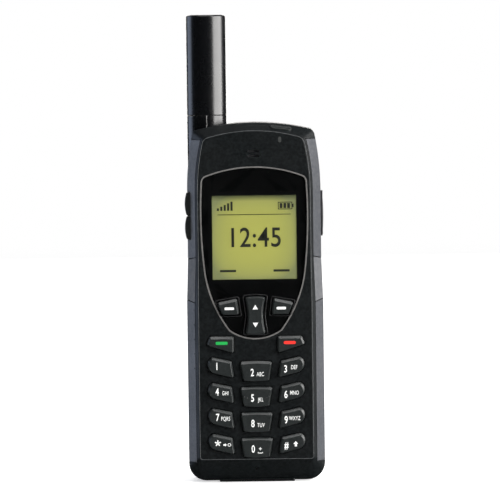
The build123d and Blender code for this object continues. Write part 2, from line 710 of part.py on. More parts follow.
ARCH_HALF = BODY_HALF_WIDTH - CORNER_TAPER
ARCH_RADIUS = (ARCH_HALF**2 + CORNER_DROP**2) / (2 * CORNER_DROP)
power_lean = math.asin(POWER_X / ARCH_RADIUS)
power_sag = ARCH_RADIUS * (1 - math.cos(power_lean))
bevel_run = FRONT_BEVEL_Y - FRONT_Y
power_plane = Plane(
    origin=(POWER_X, (FRONT_Y + FRONT_BEVEL_Y) / 2, BODY_HEIGHT - PANEL_TOP_DROP / 2 - power_sag),
    x_dir=(math.cos(power_lean), 0, -math.sin(power_lean)),
    z_dir=(
        bevel_run * math.sin(power_lean),
        -PANEL_TOP_DROP * math.cos(power_lean),
        bevel_run * math.cos(power_lean),
    ),
)
power_shape = SlotOverall(2 * POWER_HALF_WIDTH, 2 * POWER_HALF_DEPTH)
power_key = extrude(power_plane * power_shape, amount=-POWER_LENGTH)
keep("power_key", power_key)
front_housing -= extrude(power_plane * offset(power_shape, SEAM_GAP), amount=-2 * POWER_LENGTH)
front_housing -= extrude(power_plane * offset(power_shape, POWER_RECESS), amount=-POWER_RECESS_DEPTH)

# ---------------------------------------------------------------- sound, light and boards
EAR_TOP_Z = BODY_HEIGHT - EAR_SLOT_TOP_DROP
EAR_MIDDLE_Z = EAR_TOP_Z - EAR_SLOT_PITCH / 2
slot = SlotOverall(EAR_SLOT_WIDTH, EAR_SLOT_HEIGHT)
for slot_z in (EAR_TOP_Z, EAR_TOP_Z - EAR_SLOT_PITCH):
    front_housing -= slab(Pos(0, slot_z) * slot, FRONT_Y - WALL, PANEL_BACK_Y)
ear_depths = (PANEL_BACK_Y, PANEL_BACK_Y + EAR_SPEAKER_DEPTH)
earpiece = depth_rod(EAR_SPEAKER_RADIUS, 0, ear_depths, EAR_MIDDLE_Z)
keep("earpiece_speaker", chamfer(earpiece.edges().sort_by(Axis.Y)[-1], SEAM_GAP))

light_z = BODY_HEIGHT - LIGHT_PIPE_TOP_DROP
light_slot = Rot(0, 0, 90) * SlotOverall(LIGHT_PIPE_SIZE[1], LIGHT_PIPE_SIZE[0])
light_shape = Pos(LIGHT_PIPE_X, light_z) * light_slot
keep("status_light_pipe", slab(light_shape, FRONT_Y, FRONT_Y + LIGHT_PIPE_LENGTH))
front_housing -= slab(light_shape, FRONT_Y - WALL, FRONT_Y + LIGHT_PIPE_LENGTH)

mic_front_y = FRONT_BEVEL_Y - MIC_LENGTH
keep("microphone", depth_rod(MIC_RADIUS, 0, (mic_front_y, mic_front_y + MIC_LENGTH), MIC_Z))
front_housing -= depth_rod(MIC_RADIUS, 0, (mic_front_y, PARTING_Y), MIC_Z)
front_housing -= depth_rod(MIC_HOLE_RADIUS, 0, (FRONT_Y - WALL, mic_front_y), MIC_Z)

key_board_z = (KEY_BOARD_LOW, KEY_BOARD_TOP)
keep(
    "keypad_board",
    block(both_sides(KEY_BOARD_HALF_WIDTH), (KEY_BOARD_FRONT_Y, KEY_BOARD_BACK_Y), key_board_z),
)
mat = block(both_sides(KEY_BOARD_HALF_WIDTH), (MAT_FRONT_Y, MAT_BACK_Y), key_board_z)
domes = []
for name, face in {**KEY_FACES, "nav_rocker": rocker_face()}.items():
    middle = face.center()
    places = [middle.Y]
    if name == "nav_rocker":
        places = [ROCKER_TOP_Z - ROCKER_WAIST_HALF, ROCKER_LOW_Z + ROCKER_WAIST_HALF]
    for dome_z in places:
        mat += depth_rod(MAT_BUMP_RADIUS, middle.X, (BUMP_FRONT_Y, MAT_FRONT_Y), dome_z)
        domes.append(depth_rod(DOME_RADIUS, middle.X, (MAT_BACK_Y, KEY_BOARD_FRONT_Y), dome_z))
keep("keypad_mat", mat)
keep("snap_domes", Compound(children=domes))

main_board_back_y = MAIN_BOARD_FRONT_Y + MAIN_BOARD_THICKNESS
keep(
    "main_board",
    block(
        both_sides(MAIN_BOARD_HALF_WIDTH), (MAIN_BOARD_FRONT_Y, main_board_back_y),
        (MAIN_BOARD_LOW, BODY_HEIGHT - MAIN_BOARD_TOP_DROP),
    ),
)
shield = block(SHIELD_X, (main_board_back_y, SHIELD_BACK_Y), SHIELD_Z)
shield -= block(
    (SHIELD_X[0] + SHIELD_WALL, SHIELD_X[1] - SHIELD_WALL),
    (main_board_back_y, SHIELD_BACK_Y - SHIELD_WALL),
    (SHIELD_Z[0] + SHIELD_WALL, SHIELD_Z[1] - SHIELD_WALL),
)
keep("rf_shield", shield)

# ---------------------------------------------------------------- rear housing
channel_centre = (ANTENNA_X, ANTENNA_Y)
bay_x = both_sides(BATTERY_HALF_WIDTH + BAY_CLEARANCE)
bay_z = (BATTERY_LOW - BAY_CLEARANCE, BATTERY_TOP + BAY_CLEARANCE)
cover_zone = block(both_sides(BIG), (COVER_FRONT_Y, BACK_Y + WALL), (-WALL, COVER_TOP + COVER_GAP))
window_x = -(BODY_HALF_WIDTH - CORNER_WINDOW_INSET)
window_half = math.sqrt(CHANNEL_RADIUS**2 - (window_x - ANTENNA_X) ** 2)
rear_housing = rear_solid + (foot & slab(Rectangle(BIG, BIG), PARTING_Y, BACK_Y)) - cover_zone
rear_housing -= block(bay_x, (BATTERY_FRONT_Y, BACK_Y), bay_z)
rear_housing -= block(
    both_sides(BODY_HALF_WIDTH - CAVITY_SIDE_INSET), (PARTING_Y, BATTERY_FRONT_Y - BAY_FLOOR),
    (CAVITY_BOTTOM, BATTERY_TOP),
)
rear_housing -= rod(CHANNEL_RADIUS, channel_centre, CHANNEL_FLOOR_Z, BODY_HEIGHT + WALL)
rear_housing -= block(
    (-BIG, window_x), (ANTENNA_Y - window_half, ANTENNA_Y + window_half),
    (CHANNEL_FLOOR_Z, BODY_HEIGHT + WALL),
)
rear_housing -= block(
    (-BIG, ANTENNA_X + CHANNEL_RADIUS + FIT), (ANTENNA_Y - CHANNEL_RADIUS, BACK_Y + WALL),
    (BODY_HEIGHT - TILT_CLEAR_DROP, BODY_HEIGHT + WALL),
)
carriage_key_x = (ANTENNA_X, ANTENNA_X + ANTENNA_RADIUS + CARRIAGE_KEY_DEPTH)
carriage_key_y = (ANTENNA_Y - CARRIAGE_KEY_WIDTH / 2, ANTENNA_Y + CARRIAGE_KEY_WIDTH / 2)
rear_housing -= block(
    (carriage_key_x[0], carriage_key_x[1] + CHANNEL_CLEARANCE),
    (carriage_key_y[0] - CHANNEL_CLEARANCE, carriage_key_y[1] + CHANNEL_CLEARANCE),
    (CHANNEL_FLOOR_Z, CARRIAGE_TOP_Z + CHANNEL_CLEARANCE),
)
rear_cavity_x = (carriage_key_x[1] + CHANNEL_CLEARANCE + WALL, BODY_HALF_WIDTH - REAR_CAVITY_SIDE_INSET)
rear_housing -= block(
    rear_cavity_x, (PARTING_Y, REAR_CAVITY_BACK_Y),
    (REAR_CAVITY_LOW, BODY_HEIGHT - REAR_CAVITY_TOP_DROP),
)

loudspeaker_z = BODY_HEIGHT - LOUDSPEAKER_TOP_DROP
loudspeaker_y = (REAR_CAVITY_BACK_Y - LOUDSPEAKER_DEPTH, REAR_CAVITY_BACK_Y)
loudspeaker = depth_rod(LOUDSPEAKER_RADIUS, LOUDSPEAKER_X, loudspeaker_y, loudspeaker_z)
keep("loudspeaker", chamfer(loudspeaker.edges().sort_by(Axis.Y)[0], WALL / 2))
for index in range(SPEAKER_SLOT_COUNT):
    slot_z = loudspeaker_z + (index - (SPEAKER_SLOT_COUNT - 1) / 2) * SPEAKER_SLOT_PITCH
    slot_face = Pos(LOUDSPEAKER_X, slot_z) * SlotOverall(2 * SPEAKER_SLOT_HALF, SPEAKER_SLOT_HEIGHT)
    rear_housing -= slab(slot_face, REAR_CAVITY_BACK_Y, BACK_Y + WALL)

card_holder = block(both_sides(CARD_HALF_WIDTH), (main_board_back_y, CARD_BACK_Y), CARD_Z)
card_holder -= block(
    both_sides(CARD_HALF_WIDTH - CARD_WALL),
    (main_board_back_y + CARD_WALL, CARD_BACK_Y - CARD_WALL),
    (CARD_Z[0] + CARD_WALL, CARD_Z[1] + CARD_WALL),
)
keep("card_holder", card_holder)

# ---------------------------------------------------------------- battery, contacts and cover
battery = block(both_sides(BATTERY_HALF_WIDTH), (BATTERY_FRONT_Y, BATTERY_BACK_Y), (BATTERY_LOW, BATTERY_TOP))
keep("battery_pack", fillet(battery.edges().filter_by(Axis.Y), BATTERY_RADIUS))
contacts = []
for index in range(CONTACT_COUNT):
    contact_x = (index - (CONTACT_COUNT - 1) / 2) * CONTACT_PITCH
    contact = block(
        (contact_x - CONTACT_WIDTH / 2, contact_x + CONTACT_WIDTH / 2),
        (BATTERY_FRONT_Y - BAY_FLOOR, BATTERY_FRONT_Y),
        (BATTERY_TOP - 2 * BATTERY_RADIUS - CONTACT_PITCH, BATTERY_TOP - 2 * BATTERY_RADIUS),
    )
    rear_housing -= contact
    contacts.append(contact)
keep("battery_contacts", Compound(children=contacts))

cover = rear_solid & block(
    both_sides(BIG), (COVER_FRONT_Y + COVER_GAP, BACK_Y + WALL), (COVER_LOW, COVER_TOP)
)
hook_depths = (COVER_FRONT_Y - HOOK_DEPTH, COVER_FRONT_Y + WALL / 2)
for side in (-1, 1):
    hook_x = sorted((side * (HOOK_X - HOOK_WIDTH / 2), side * (HOOK_X + HOOK_WIDTH / 2)))
    for hook_z in HOOK_Z:
        cover += block(hook_x, hook_depths, (hook_z, hook_z + HOOK_LENGTH))
        rear_housing -= block(
            (hook_x[0] - COVER_GAP, hook_x[1] + COVER_GAP),
            (hook_depths[0] - COVER_GAP, COVER_FRONT_Y),
            (hook_z - COVER_TRAVEL - COVER_GAP, hook_z + HOOK_LENGTH + COVER_GAP),
        )

for index in range(GROOVE_COUNT):
    groove = Pos(0, GROOVE_LOW_Z + index * GROOVE_PITCH) * SlotOverall(2 * GROOVE_HALF_WIDTH, GROOVE_HEIGHT)
    cover -= slab(groove, BACK_Y - GROOVE_DEPTH, BACK_Y + WALL)

latch_floor_y = BACK_Y - LATCH_THICKNESS - 2 * LATCH_FACE_GAP
latch_low = COVER_TOP + LATCH_BASE_RISE
latch_z = (latch_low, latch_low + LATCH_HEIGHT)
latch_x = (LATCH_X - LATCH_HALF_WIDTH, LATCH_X + LATCH_HALF_WIDTH)
bolt_x = (LATCH_X - LATCH_BOLT_HALF, LATCH_X + LATCH_BOLT_HALF)
latch_front_y = latch_floor_y + LATCH_FACE_GAP
bolt_y = (latch_front_y, latch_front_y + LATCH_BOLT_THICKNESS)
bolt_z = (COVER_TOP - LATCH_BOLT_DEPTH, latch_low + WALL)
latch = block(latch_x, (latch_front_y, BACK_Y - LATCH_FACE_GAP - RIDGE_HEIGHT), latch_z)
latch = fillet(latch.edges().filter_by(Axis.Y), CORNER_MIN)
for index in range(RIDGE_COUNT):
    ridge_z = latch_low + LATCH_HEIGHT / 2 + (index - (RIDGE_COUNT - 1) / 2) * RIDGE_PITCH
    ridge = block(
        (latch_x[0] + CORNER_MIN, latch_x[1] - CORNER_MIN),
        (latch_front_y, BACK_Y - LATCH_FACE_GAP), (ridge_z - RIDGE_HEIGHT / 2, ridge_z + RIDGE_HEIGHT / 2),
    )
    latch += ridge
latch += block(bolt_x, bolt_y, bolt_z)
keep("battery_latch", latch)
rear_housing -= block(
    (latch_x[0] - COVER_GAP, latch_x[1] + COVER_GAP), (latch_floor_y, BACK_Y + WALL),
    (latch_z[0] - COVER_GAP, latch_z[1] + LATCH_TRAVEL + COVER_GAP),
)
bolt_room = block(
    (bolt_x[0] - COVER_GAP, bolt_x[1] + COVER_GAP), (bolt_y[0] - COVER_GAP, bolt_y[1] + COVER_GAP),
    (bolt_z[0] - COVER_GAP, bolt_z[1]),
)
rear_housing -= bolt_room
keep("battery_cover", cover - bolt_room)

# ---------------------------------------------------------------- side cover and headset jack
flap_x = (BODY_HALF_WIDTH + FLAP_GAP, BODY_HALF_WIDTH + FLAP_GAP + FLAP_THICKNESS)
flap_middle_x = (flap_x[0] + flap_x[1]) / 2
flap_middle_z = (FLAP_LOW_Z + FLAP_TOP_Z) / 2
barrel_radius = FLAP_THICKNESS / 2
side_plate = block(flap_x, (FLAP_FRONT_Y, FLAP_HINGE_Y), (FLAP_LOW_Z, FLAP_TOP_Z))
lug_room_y = (FLAP_HINGE_Y - barrel_radius - SEAM_GAP, FLAP_HINGE_Y)
side_plate -= block(flap_x, lug_room_y, (FLAP_LOW_Z, FLAP_LOW_Z + HINGE_LUG))
side_plate -= block(flap_x, lug_room_y, (FLAP_TOP_Z - HINGE_LUG, FLAP_TOP_Z))
side_plate = fillet(
    side_plate.edges().filter_by(Axis.X).group_by(Axis.Y)[0], FLAP_CORNER_RADIUS
)
outer_rim = side_plate.faces().sort_by(Axis.X)[-1].edges().filter_by(Axis.Z).sort_by(Axis.Y)[0]
side_plate = chamfer(outer_rim, barrel_radius)
flap_crown = crowned_face(
    flap_x[0] - FLAP_GAP, flap_x[0] + FLAP_END_THICKNESS, flap_x[1], (FLAP_LOW_Z, FLAP_TOP_Z)
)
crown_depths = (FLAP_FRONT_Y, FLAP_HINGE_Y - 2 * barrel_radius)
side_plate -= block(flap_x, crown_depths, (FLAP_LOW_Z, FLAP_TOP_Z)) - slab(flap_crown, *crown_depths)
hinge_centre = (flap_middle_x, FLAP_HINGE_Y)
side_flap = side_plate + rod(
    barrel_radius, hinge_centre, FLAP_LOW_Z + HINGE_LUG + SEAM_GAP, FLAP_TOP_Z - HINGE_LUG - SEAM_GAP
)
side_flap += rod(HINGE_STUB_RADIUS, hinge_centre, FLAP_LOW_Z + SEAM_GAP, FLAP_TOP_Z - SEAM_GAP)
side_flap += cross_rod(
    FLAP_PLUG_RADIUS, (flap_x[0] - FLAP_PLUG_LENGTH, flap_middle_x), FLAP_PLUG_Y, flap_middle_z
)
lug_x = (BODY_HALF_WIDTH - WALL, flap_middle_x)
lug_y = (FLAP_HINGE_Y - barrel_radius, FLAP_HINGE_Y + barrel_radius)
for lug_low in (FLAP_LOW_Z, FLAP_TOP_Z - HINGE_LUG):
    rear_housing += block(lug_x, lug_y, (lug_low, lug_low + HINGE_LUG))
    rear_housing += rod(barrel_radius, hinge_centre, lug_low, lug_low + HINGE_LUG)
rear_housing -= rod(HINGE_STUB_RADIUS + PIN_CLEARANCE, hinge_centre, FLAP_LOW_Z, FLAP_TOP_Z)
side_flap_room = cross_rod(
    FLAP_SOCKET_RADIUS, (BODY_HALF_WIDTH - CAVITY_SIDE_INSET, BIG), FLAP_PLUG_Y, flap_middle_z
)
rear_housing -= side_flap_room
keep("side_socket_cover", side_flap)
jack_x = (
    BODY_HALF_WIDTH - REAR_CAVITY_SIDE_INSET - JACK_LENGTH, BODY_HALF_WIDTH - REAR_CAVITY_SIDE_INSET,
)
jack = cross_rod(JACK_RADIUS, jack_x, FLAP_PLUG_Y, flap_middle_z)
jack -= cross_rod(JACK_BORE_RADIUS, (jack_x[0] + JACK_WALL, BIG), FLAP_PLUG_Y, flap_middle_z)
keep("headset_jack", jack)

# ---------------------------------------------------------------- base cover and connector
base_z = (BASE_FLAP_LIFT, BASE_FLAP_LIFT + BASE_FLAP_THICKNESS)
base_barrel_z = (base_z[0] + base_z[1]) / 2
base_barrel = BASE_FLAP_THICKNESS / 2
base_x = both_sides(BASE_FLAP_HALF_WIDTH)
inner_base_x = both_sides(BASE_FLAP_HALF_WIDTH - HINGE_LUG - SEAM_GAP)
base_flap = block(base_x, (BASE_FLAP_FRONT_Y, BASE_FLAP_HINGE_Y - base_barrel - SEAM_GAP), base_z)
base_flap = fillet(base_flap.edges().filter_by(Axis.Z).group_by(Axis.Y)[0], FLAP_CORNER_RADIUS)
base_flap += block(inner_base_x, (BASE_FLAP_FRONT_Y + FLAP_CORNER_RADIUS, BASE_FLAP_HINGE_Y), base_z)
base_flap += cross_rod(base_barrel, inner_base_x, BASE_FLAP_HINGE_Y, base_barrel_z)
base_flap += cross_rod(
    HINGE_STUB_RADIUS, both_sides(BASE_FLAP_HALF_WIDTH - SEAM_GAP), BASE_FLAP_HINGE_Y, base_barrel_z
)
base_plug = block(
    both_sides(BASE_PLUG_HALF_WIDTH),
    (BASE_SOCKET_Y - BASE_PLUG_HALF_DEPTH, BASE_SOCKET_Y + BASE_PLUG_HALF_DEPTH),
    (base_barrel_z, base_z[1] + BASE_PLUG_LENGTH),
)
keep("base_socket_cover", base_flap + base_plug)
rear_housing -= block(
    both_sides(BASE_FLAP_HALF_WIDTH + FIT),
    (BASE_FLAP_FRONT_Y - FIT, BASE_FLAP_HINGE_Y + base_barrel + FIT),
    (-WALL, base_z[1] + SEAM_GAP),
)
for side in (-1, 1):
    lug_ends = sorted((side * (BASE_FLAP_HALF_WIDTH + 2 * FIT), side * (BASE_FLAP_HALF_WIDTH - HINGE_LUG)))
    rear_housing += block(
        lug_ends, (BASE_FLAP_HINGE_Y - base_barrel, BASE_FLAP_HINGE_Y + base_barrel),
        (base_barrel_z, base_z[1] + FIT),
    )
    rear_housing += cross_rod(base_barrel, lug_ends, BASE_FLAP_HINGE_Y, base_barrel_z)
rear_housing -= cross_rod(
    HINGE_STUB_RADIUS + PIN_CLEARANCE, both_sides(BASE_FLAP_HALF_WIDTH), BASE_FLAP_HINGE_Y, base_barrel_z
)
socket_x = both_sides(BASE_SOCKET_HALF_WIDTH)
socket_y = (BASE_SOCKET_Y - BASE_SOCKET_HALF_DEPTH, BASE_SOCKET_Y + BASE_SOCKET_HALF_DEPTH)
rear_housing -= block(socket_x, socket_y, (0, BASE_SOCKET_HEIGHT))
connector = block(socket_x, socket_y, (BASE_CONNECTOR_LOW, BASE_SOCKET_HEIGHT))
connector -= block(
    both_sides(BASE_SOCKET_HALF_WIDTH - WALL / 2),
    (socket_y[0] + WALL / 2, socket_y[1] - WALL / 2),
    (BASE_CONNECTOR_LOW, BASE_SOCKET_HEIGHT - WALL),
)
for index in range(PIN_ROW_COUNT):
    pin_x = (index - (PIN_ROW_COUNT - 1) / 2) * PIN_ROW_PITCH
    connector += block(
        (pin_x - HINGE_STUB_RADIUS, pin_x + HINGE_STUB_RADIUS),
        (BASE_SOCKET_Y - HINGE_STUB_RADIUS, BASE_SOCKET_Y + HINGE_STUB_RADIUS),
        (BASE_CONNECTOR_LOW + WALL / 2, BASE_SOCKET_HEIGHT),
    )
keep("base_connector", connector)

# ---------------------------------------------------------------- antenna
carriage = rod(ANTENNA_RADIUS, channel_centre, CARRIAGE_LOW_Z, CARRIAGE_TOP_Z)
carriage += block(carriage_key_x, carriage_key_y, (CARRIAGE_LOW_Z, CARRIAGE_TOP_Z))
carriage -= rod(SPINDLE_RADIUS + SPINDLE_CLEARANCE, channel_centre, CARRIAGE_LOW_Z, CARRIAGE_TOP_Z)
keep("antenna_carriage", carriage)

left_of_lap = block((-BIG, ANTENNA_X - LAP_GAP), both_sides(BIG), (0, BIG))
right_of_lap = block((ANTENNA_X + LAP_GAP, BIG), both_sides(BIG), (0, BIG))
pin_x = (ANTENNA_X - ANTENNA_RADIUS + WALL / 2, ANTENNA_X + ANTENNA_RADIUS - WALL / 2)
lug_top_z = HEAD_SEAM_Z - HEAD_SEAM
full_column = rod(ANTENNA_RADIUS, channel_centre, 0, BIG)
pin_disc = cross_rod(ANTENNA_RADIUS, both_sides(BIG), ANTENNA_Y, PIN_Z)
pin_ball = Pos(ANTENNA_X, ANTENNA_Y, PIN_Z) * Sphere(ANTENNA_RADIUS)

post_lug = full_column & left_of_lap & (
    block(both_sides(BIG), both_sides(BIG), (POST_LOW_Z, PIN_Z))
    + block(both_sides(BIG), (-BIG, ANTENNA_Y), (POST_LOW_Z, lug_top_z))
    + pin_disc
)
post = post_lug + rod(ANTENNA_RADIUS, channel_centre, POST_LOW_Z, POST_SHOULDER_Z)
post += rod(SPINDLE_RADIUS, channel_centre, SPINDLE_HEAD_Z, POST_LOW_Z)
post += rod(SPINDLE_HEAD_RADIUS, channel_centre, SPINDLE_HEAD_Z, SPINDLE_HEAD_Z + SPINDLE_HEAD_THICKNESS)
post -= cross_rod(PIN_RADIUS, pin_x, ANTENNA_Y, PIN_Z)
keep("antenna_post", post)
keep("antenna_hinge_pin", cross_rod(PIN_RADIUS, pin_x, ANTENNA_Y, PIN_Z))

knuckle = full_column & right_of_lap & (
    block(both_sides(BIG), both_sides(BIG), (PIN_Z, HEAD_SEAM_Z)) + pin_ball
)
spigot_radius = ANTENNA_RADIUS - SHEATH_WALL
knuckle += rod(spigot_radius, channel_centre, HEAD_SEAM_Z, HEAD_SEAM_Z + SPIGOT_LENGTH)
knuckle -= cross_rod(
    PIN_RADIUS + PIN_CLEARANCE, (ANTENNA_X, pin_x[1] + LAP_GAP), ANTENNA_Y, PIN_Z
)
keep("antenna_knuckle", knuckle)

sheath = rod(ANTENNA_RADIUS, channel_centre, HEAD_SEAM_Z, HEAD_TOP_Z)
sheath = fillet(sheath.edges().sort_by(Axis.Z)[-1], HEAD_EDGE_RADIUS)
sheath = chamfer(sheath.edges().sort_by(Axis.Z)[0], HEAD_GROOVE)
sheath -= rod(spigot_radius, channel_centre, HEAD_SEAM_Z, HEAD_TOP_Z - SHEATH_WALL)
keep("antenna_sheath", sheath)
core_z = (HEAD_SEAM_Z + SPIGOT_LENGTH, HEAD_TOP_Z - SHEATH_WALL - CORE_GAP)
core_radius = spigot_radius - CORE_CLEARANCE
core_rod = rod(core_radius, channel_centre, *core_z)
turn_pitch = (core_z[1] - core_z[0]) / CORE_TURN_COUNT
for index in range(1, CORE_TURN_COUNT):
    groove_z = core_z[0] + index * turn_pitch
    core_rod -= Pos(ANTENNA_X, ANTENNA_Y, groove_z) * Torus(core_radius, CORE_GROOVE)
keep("antenna_core", core_rod)

# ---------------------------------------------------------------- gasket and screws
gasket = slab(casing(GASKET_INSET), PARTING_Y, PARTING_Y + GASKET_THICKNESS) - slab(
    casing(GASKET_INSET + GASKET_WIDTH), PARTING_Y - WALL, PARTING_Y + WALL
)
rear_housing -= gasket
keep("housing_gasket", gasket)

screws = []
top_screw_z = BODY_HEIGHT - TOP_SCREW_DROP
screw_places = [(side * LOW_SCREW_X, LOW_SCREW_Z) for side in (-1, 1)]
screw_places += [(x, top_screw_z) for x in TOP_SCREW_X]
for screw_x, screw_z in screw_places:
    seat_y = BACK_Y if screw_z > COVER_TOP else COVER_FRONT_Y
    head_y = (seat_y - SCREW_SINK - SCREW_HEAD_HEIGHT, seat_y - SCREW_SINK)
    screw = depth_rod(SCREW_HEAD_RADIUS, screw_x, head_y, screw_z)
    screw += depth_rod(SCREW_RADIUS, screw_x, (SCREW_FRONT_Y, head_y[0]), screw_z)
    for turn in (0, 90):
        recess = Box(2 * SCREW_RADIUS, SCREW_SINK, SCREW_SINK)
        screw -= Pos(screw_x, head_y[1] - SCREW_SINK / 2, screw_z) * Rot(0, turn, 0) * recess
    screws.append(screw)
    rear_housing -= depth_rod(SCREW_HEAD_RADIUS, screw_x, (head_y[0], BACK_Y + WALL), screw_z)
    rear_housing -= depth_rod(SCREW_RADIUS, screw_x, (PARTING_Y, head_y[0]), screw_z)
    if screw_z > COVER_TOP:
        front_housing += depth_rod(SCREW_BOSS_RADIUS, screw_x, (PANEL_BACK_Y, PARTING_Y), screw_z)
    front_housing -= depth_rod(SCREW_RADIUS, screw_x, (SCREW_FRONT_Y, PARTING_Y), screw_z)
keep("housing_screws", Compound(children=screws))

keep("front_housing", front_housing)
keep("rear_housing", rear_housing)
for name, rail in rails.items():
    keep(name, rail)

for name, shape in nodes.items():
    export_step(shape, f"parts/{name}.step")
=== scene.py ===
"""Looks for the satellite phone: materials, printed legends, display content, camera and lights.

Everything is in metres in the phone's own frame: +Z up its long side, the keys face -Y.
"""
import json
import math

import bmesh
import bpy
from mathutils import Matrix, Quaternion, Vector


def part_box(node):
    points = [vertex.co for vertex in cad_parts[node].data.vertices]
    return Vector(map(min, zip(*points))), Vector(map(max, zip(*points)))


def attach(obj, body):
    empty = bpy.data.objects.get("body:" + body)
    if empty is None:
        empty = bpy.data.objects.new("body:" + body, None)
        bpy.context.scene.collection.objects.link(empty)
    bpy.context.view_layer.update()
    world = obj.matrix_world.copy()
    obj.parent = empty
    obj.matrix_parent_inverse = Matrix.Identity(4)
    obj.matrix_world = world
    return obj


MM = 0.001

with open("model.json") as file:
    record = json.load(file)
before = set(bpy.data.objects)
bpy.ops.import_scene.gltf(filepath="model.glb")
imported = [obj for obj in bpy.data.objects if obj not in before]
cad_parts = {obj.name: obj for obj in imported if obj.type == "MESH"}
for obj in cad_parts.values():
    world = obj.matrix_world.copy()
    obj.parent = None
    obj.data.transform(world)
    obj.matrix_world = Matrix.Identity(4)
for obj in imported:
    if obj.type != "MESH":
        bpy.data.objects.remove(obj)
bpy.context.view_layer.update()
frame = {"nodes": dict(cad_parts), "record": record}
nodes = frame["nodes"]
ROOT = "root"

# ---------------------------------------------------------------- camera
VIEW_X = -1.8 * MM
VIEW_Z = 92.7 * MM
PICTURE_WIDTH = 197.9 * MM
CAMERA_DISTANCE = 1.7
CAMERA_ELEVATION = math.radians(3.0)
CAMERA_ROLL = math.radians(-0.72)
SENSOR = 36.0

panel_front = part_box("front_housing")[0][1]
target = Vector((VIEW_X, panel_front, VIEW_Z))
toward_camera = Vector((0, -math.cos(CAMERA_ELEVATION), math.sin(CAMERA_ELEVATION)))
camera_data = bpy.data.cameras.new("camera")
camera_data.sensor_width = SENSOR
camera_data.lens = SENSOR * CAMERA_DISTANCE / PICTURE_WIDTH
camera_data.clip_end = 50.0
camera = bpy.data.objects.new("camera", camera_data)
bpy.context.scene.collection.objects.link(camera)
camera.location = target + CAMERA_DISTANCE * toward_camera
camera.rotation_mode = "QUATERNION"
camera.rotation_quaternion = (-toward_camera).to_track_quat("-Z", "Y") @ Quaternion(
    (0, 0, 1), CAMERA_ROLL
)
bpy.context.scene.camera = camera
bpy.context.scene.view_settings.view_transform = "Standard"

# ---------------------------------------------------------------- lights
LIGHT_CENTRE = Vector((0, 0, VIEW_Z))


def softbox(name, azimuth, elevation, distance, size, watts, colour):
    """A rectangular light; azimuth 0 is in front of the keys, positive to the right."""
    turn, rise = math.radians(azimuth), math.radians(elevation)
    away = Vector((math.sin(turn) * math.cos(rise), -math.cos(turn) * math.cos(rise), math.sin(rise)))
    data = bpy.data.lights.new(name, "AREA")
    data.shape = "RECTANGLE"
    data.size, data.size_y = size
    data.energy = watts
    data.color = colour
    lamp = bpy.data.objects.new(name, data)
    bpy.context.scene.collection.objects.link(lamp)
    lamp.location = LIGHT_CENTRE + distance * away
    lamp.rotation_mode = "QUATERNION"
    lamp.rotation_quaternion = away.to_track_quat("Z", "Y")
    return lamp


softbox("right_softbox", 72, 14, 1.3, (1.5, 1.3), 48.0, (1.0, 0.985, 0.97))
softbox("top_softbox", 0, 84, 1.3, (1.1, 0.5), 9.0, (1.0, 1.0, 1.0))
softbox("left_softbox", -112, 8, 1.4, (0.9, 1.2), 5.2, (0.66, 0.77, 1.0))
softbox("back_softbox", 180, 12, 1.6, (1.2, 0.9), 11.0, (1.0, 0.98, 0.95))

world = bpy.data.worlds.new("studio")
world.use_nodes = True
bpy.context.scene.world = world
world_nodes, world_links = world.node_tree.nodes, world.node_tree.links
world_nodes.clear()
seen = world_nodes.new("ShaderNodeBackground")
seen.inputs["Color"].default_value = (1.0, 1.0, 1.0, 1.0)
lighting = world_nodes.new("ShaderNodeBackground")
lighting.inputs["Color"].default_value = (0.9, 0.95, 1.0, 1.0)
lighting.inputs["Strength"].default_value = 0.14
mirrored = world_nodes.new("ShaderNodeBackground")
mirrored.inputs["Color"].default_value = (0.9, 0.95, 1.0, 1.0)
mirrored.inputs["Strength"].default_value = 0.015
path = world_nodes.new("ShaderNodeLightPath")
by_gloss = world_nodes.new("ShaderNodeMixShader")
by_camera = world_nodes.new("ShaderNodeMixShader")
world_out = world_nodes.new("ShaderNodeOutputWorld")
world_links.new(path.outputs["Is Glossy Ray"], by_gloss.inputs[0])
world_links.new(lighting.outputs[0], by_gloss.inputs[1])
world_links.new(mirrored.outputs[0], by_gloss.inputs[2])
world_links.new(path.outputs["Is Camera Ray"], by_camera.inputs[0])
world_links.new(by_gloss.outputs[0], by_camera.inputs[1])
world_links.new(seen.outputs[0], by_camera.inputs[2])
world_links.new(by_camera.outputs[0], world_out.inputs["Surface"])

# ---------------------------------------------------------------- material tools
NOISE_LOW, NOISE_HIGH = 0.3, 0.7


def new_material(name, colour, roughness, metallic=0.0, **sockets):
    """A material with one Principled shader. Returns the material and that shader."""
    material = bpy.data.materials.new(name)
    material.use_nodes = True
    shader = material.node_tree.nodes["Principled BSDF"]
    shader.inputs["Base Color"].default_value = (*colour, 1.0)
    shader.inputs["Roughness"].default_value = roughness
    shader.inputs["Metallic"].default_value = metallic
    for socket, value in sockets.items():
        shader.inputs[socket.replace("_", " ")].default_value = value
    return material, shader


def place_coordinates(material):
    """The surface's own coordinates in metres."""
    return material.node_tree.nodes.new("ShaderNodeTexCoord").outputs["Object"]


def noise(material, scale, detail=3.0, roughness=0.55, stretch=None):
    """A noise pattern with features about 1/scale metres across."""
    tree = material.node_tree
    node = tree.nodes.new("ShaderNodeTexNoise")
    node.inputs["Scale"].default_value = scale
    node.inputs["Detail"].default_value = detail
    node.inputs["Roughness"].default_value = roughness
    source = place_coordinates(material)
    if stretch:
        mapping = tree.nodes.new("ShaderNodeMapping")
        mapping.inputs["Scale"].default_value = stretch
        tree.links.new(source, mapping.inputs["Vector"])
        source = mapping.outputs["Vector"]
    tree.links.new(source, node.inputs["Vector"])
    return node.outputs["Fac"]


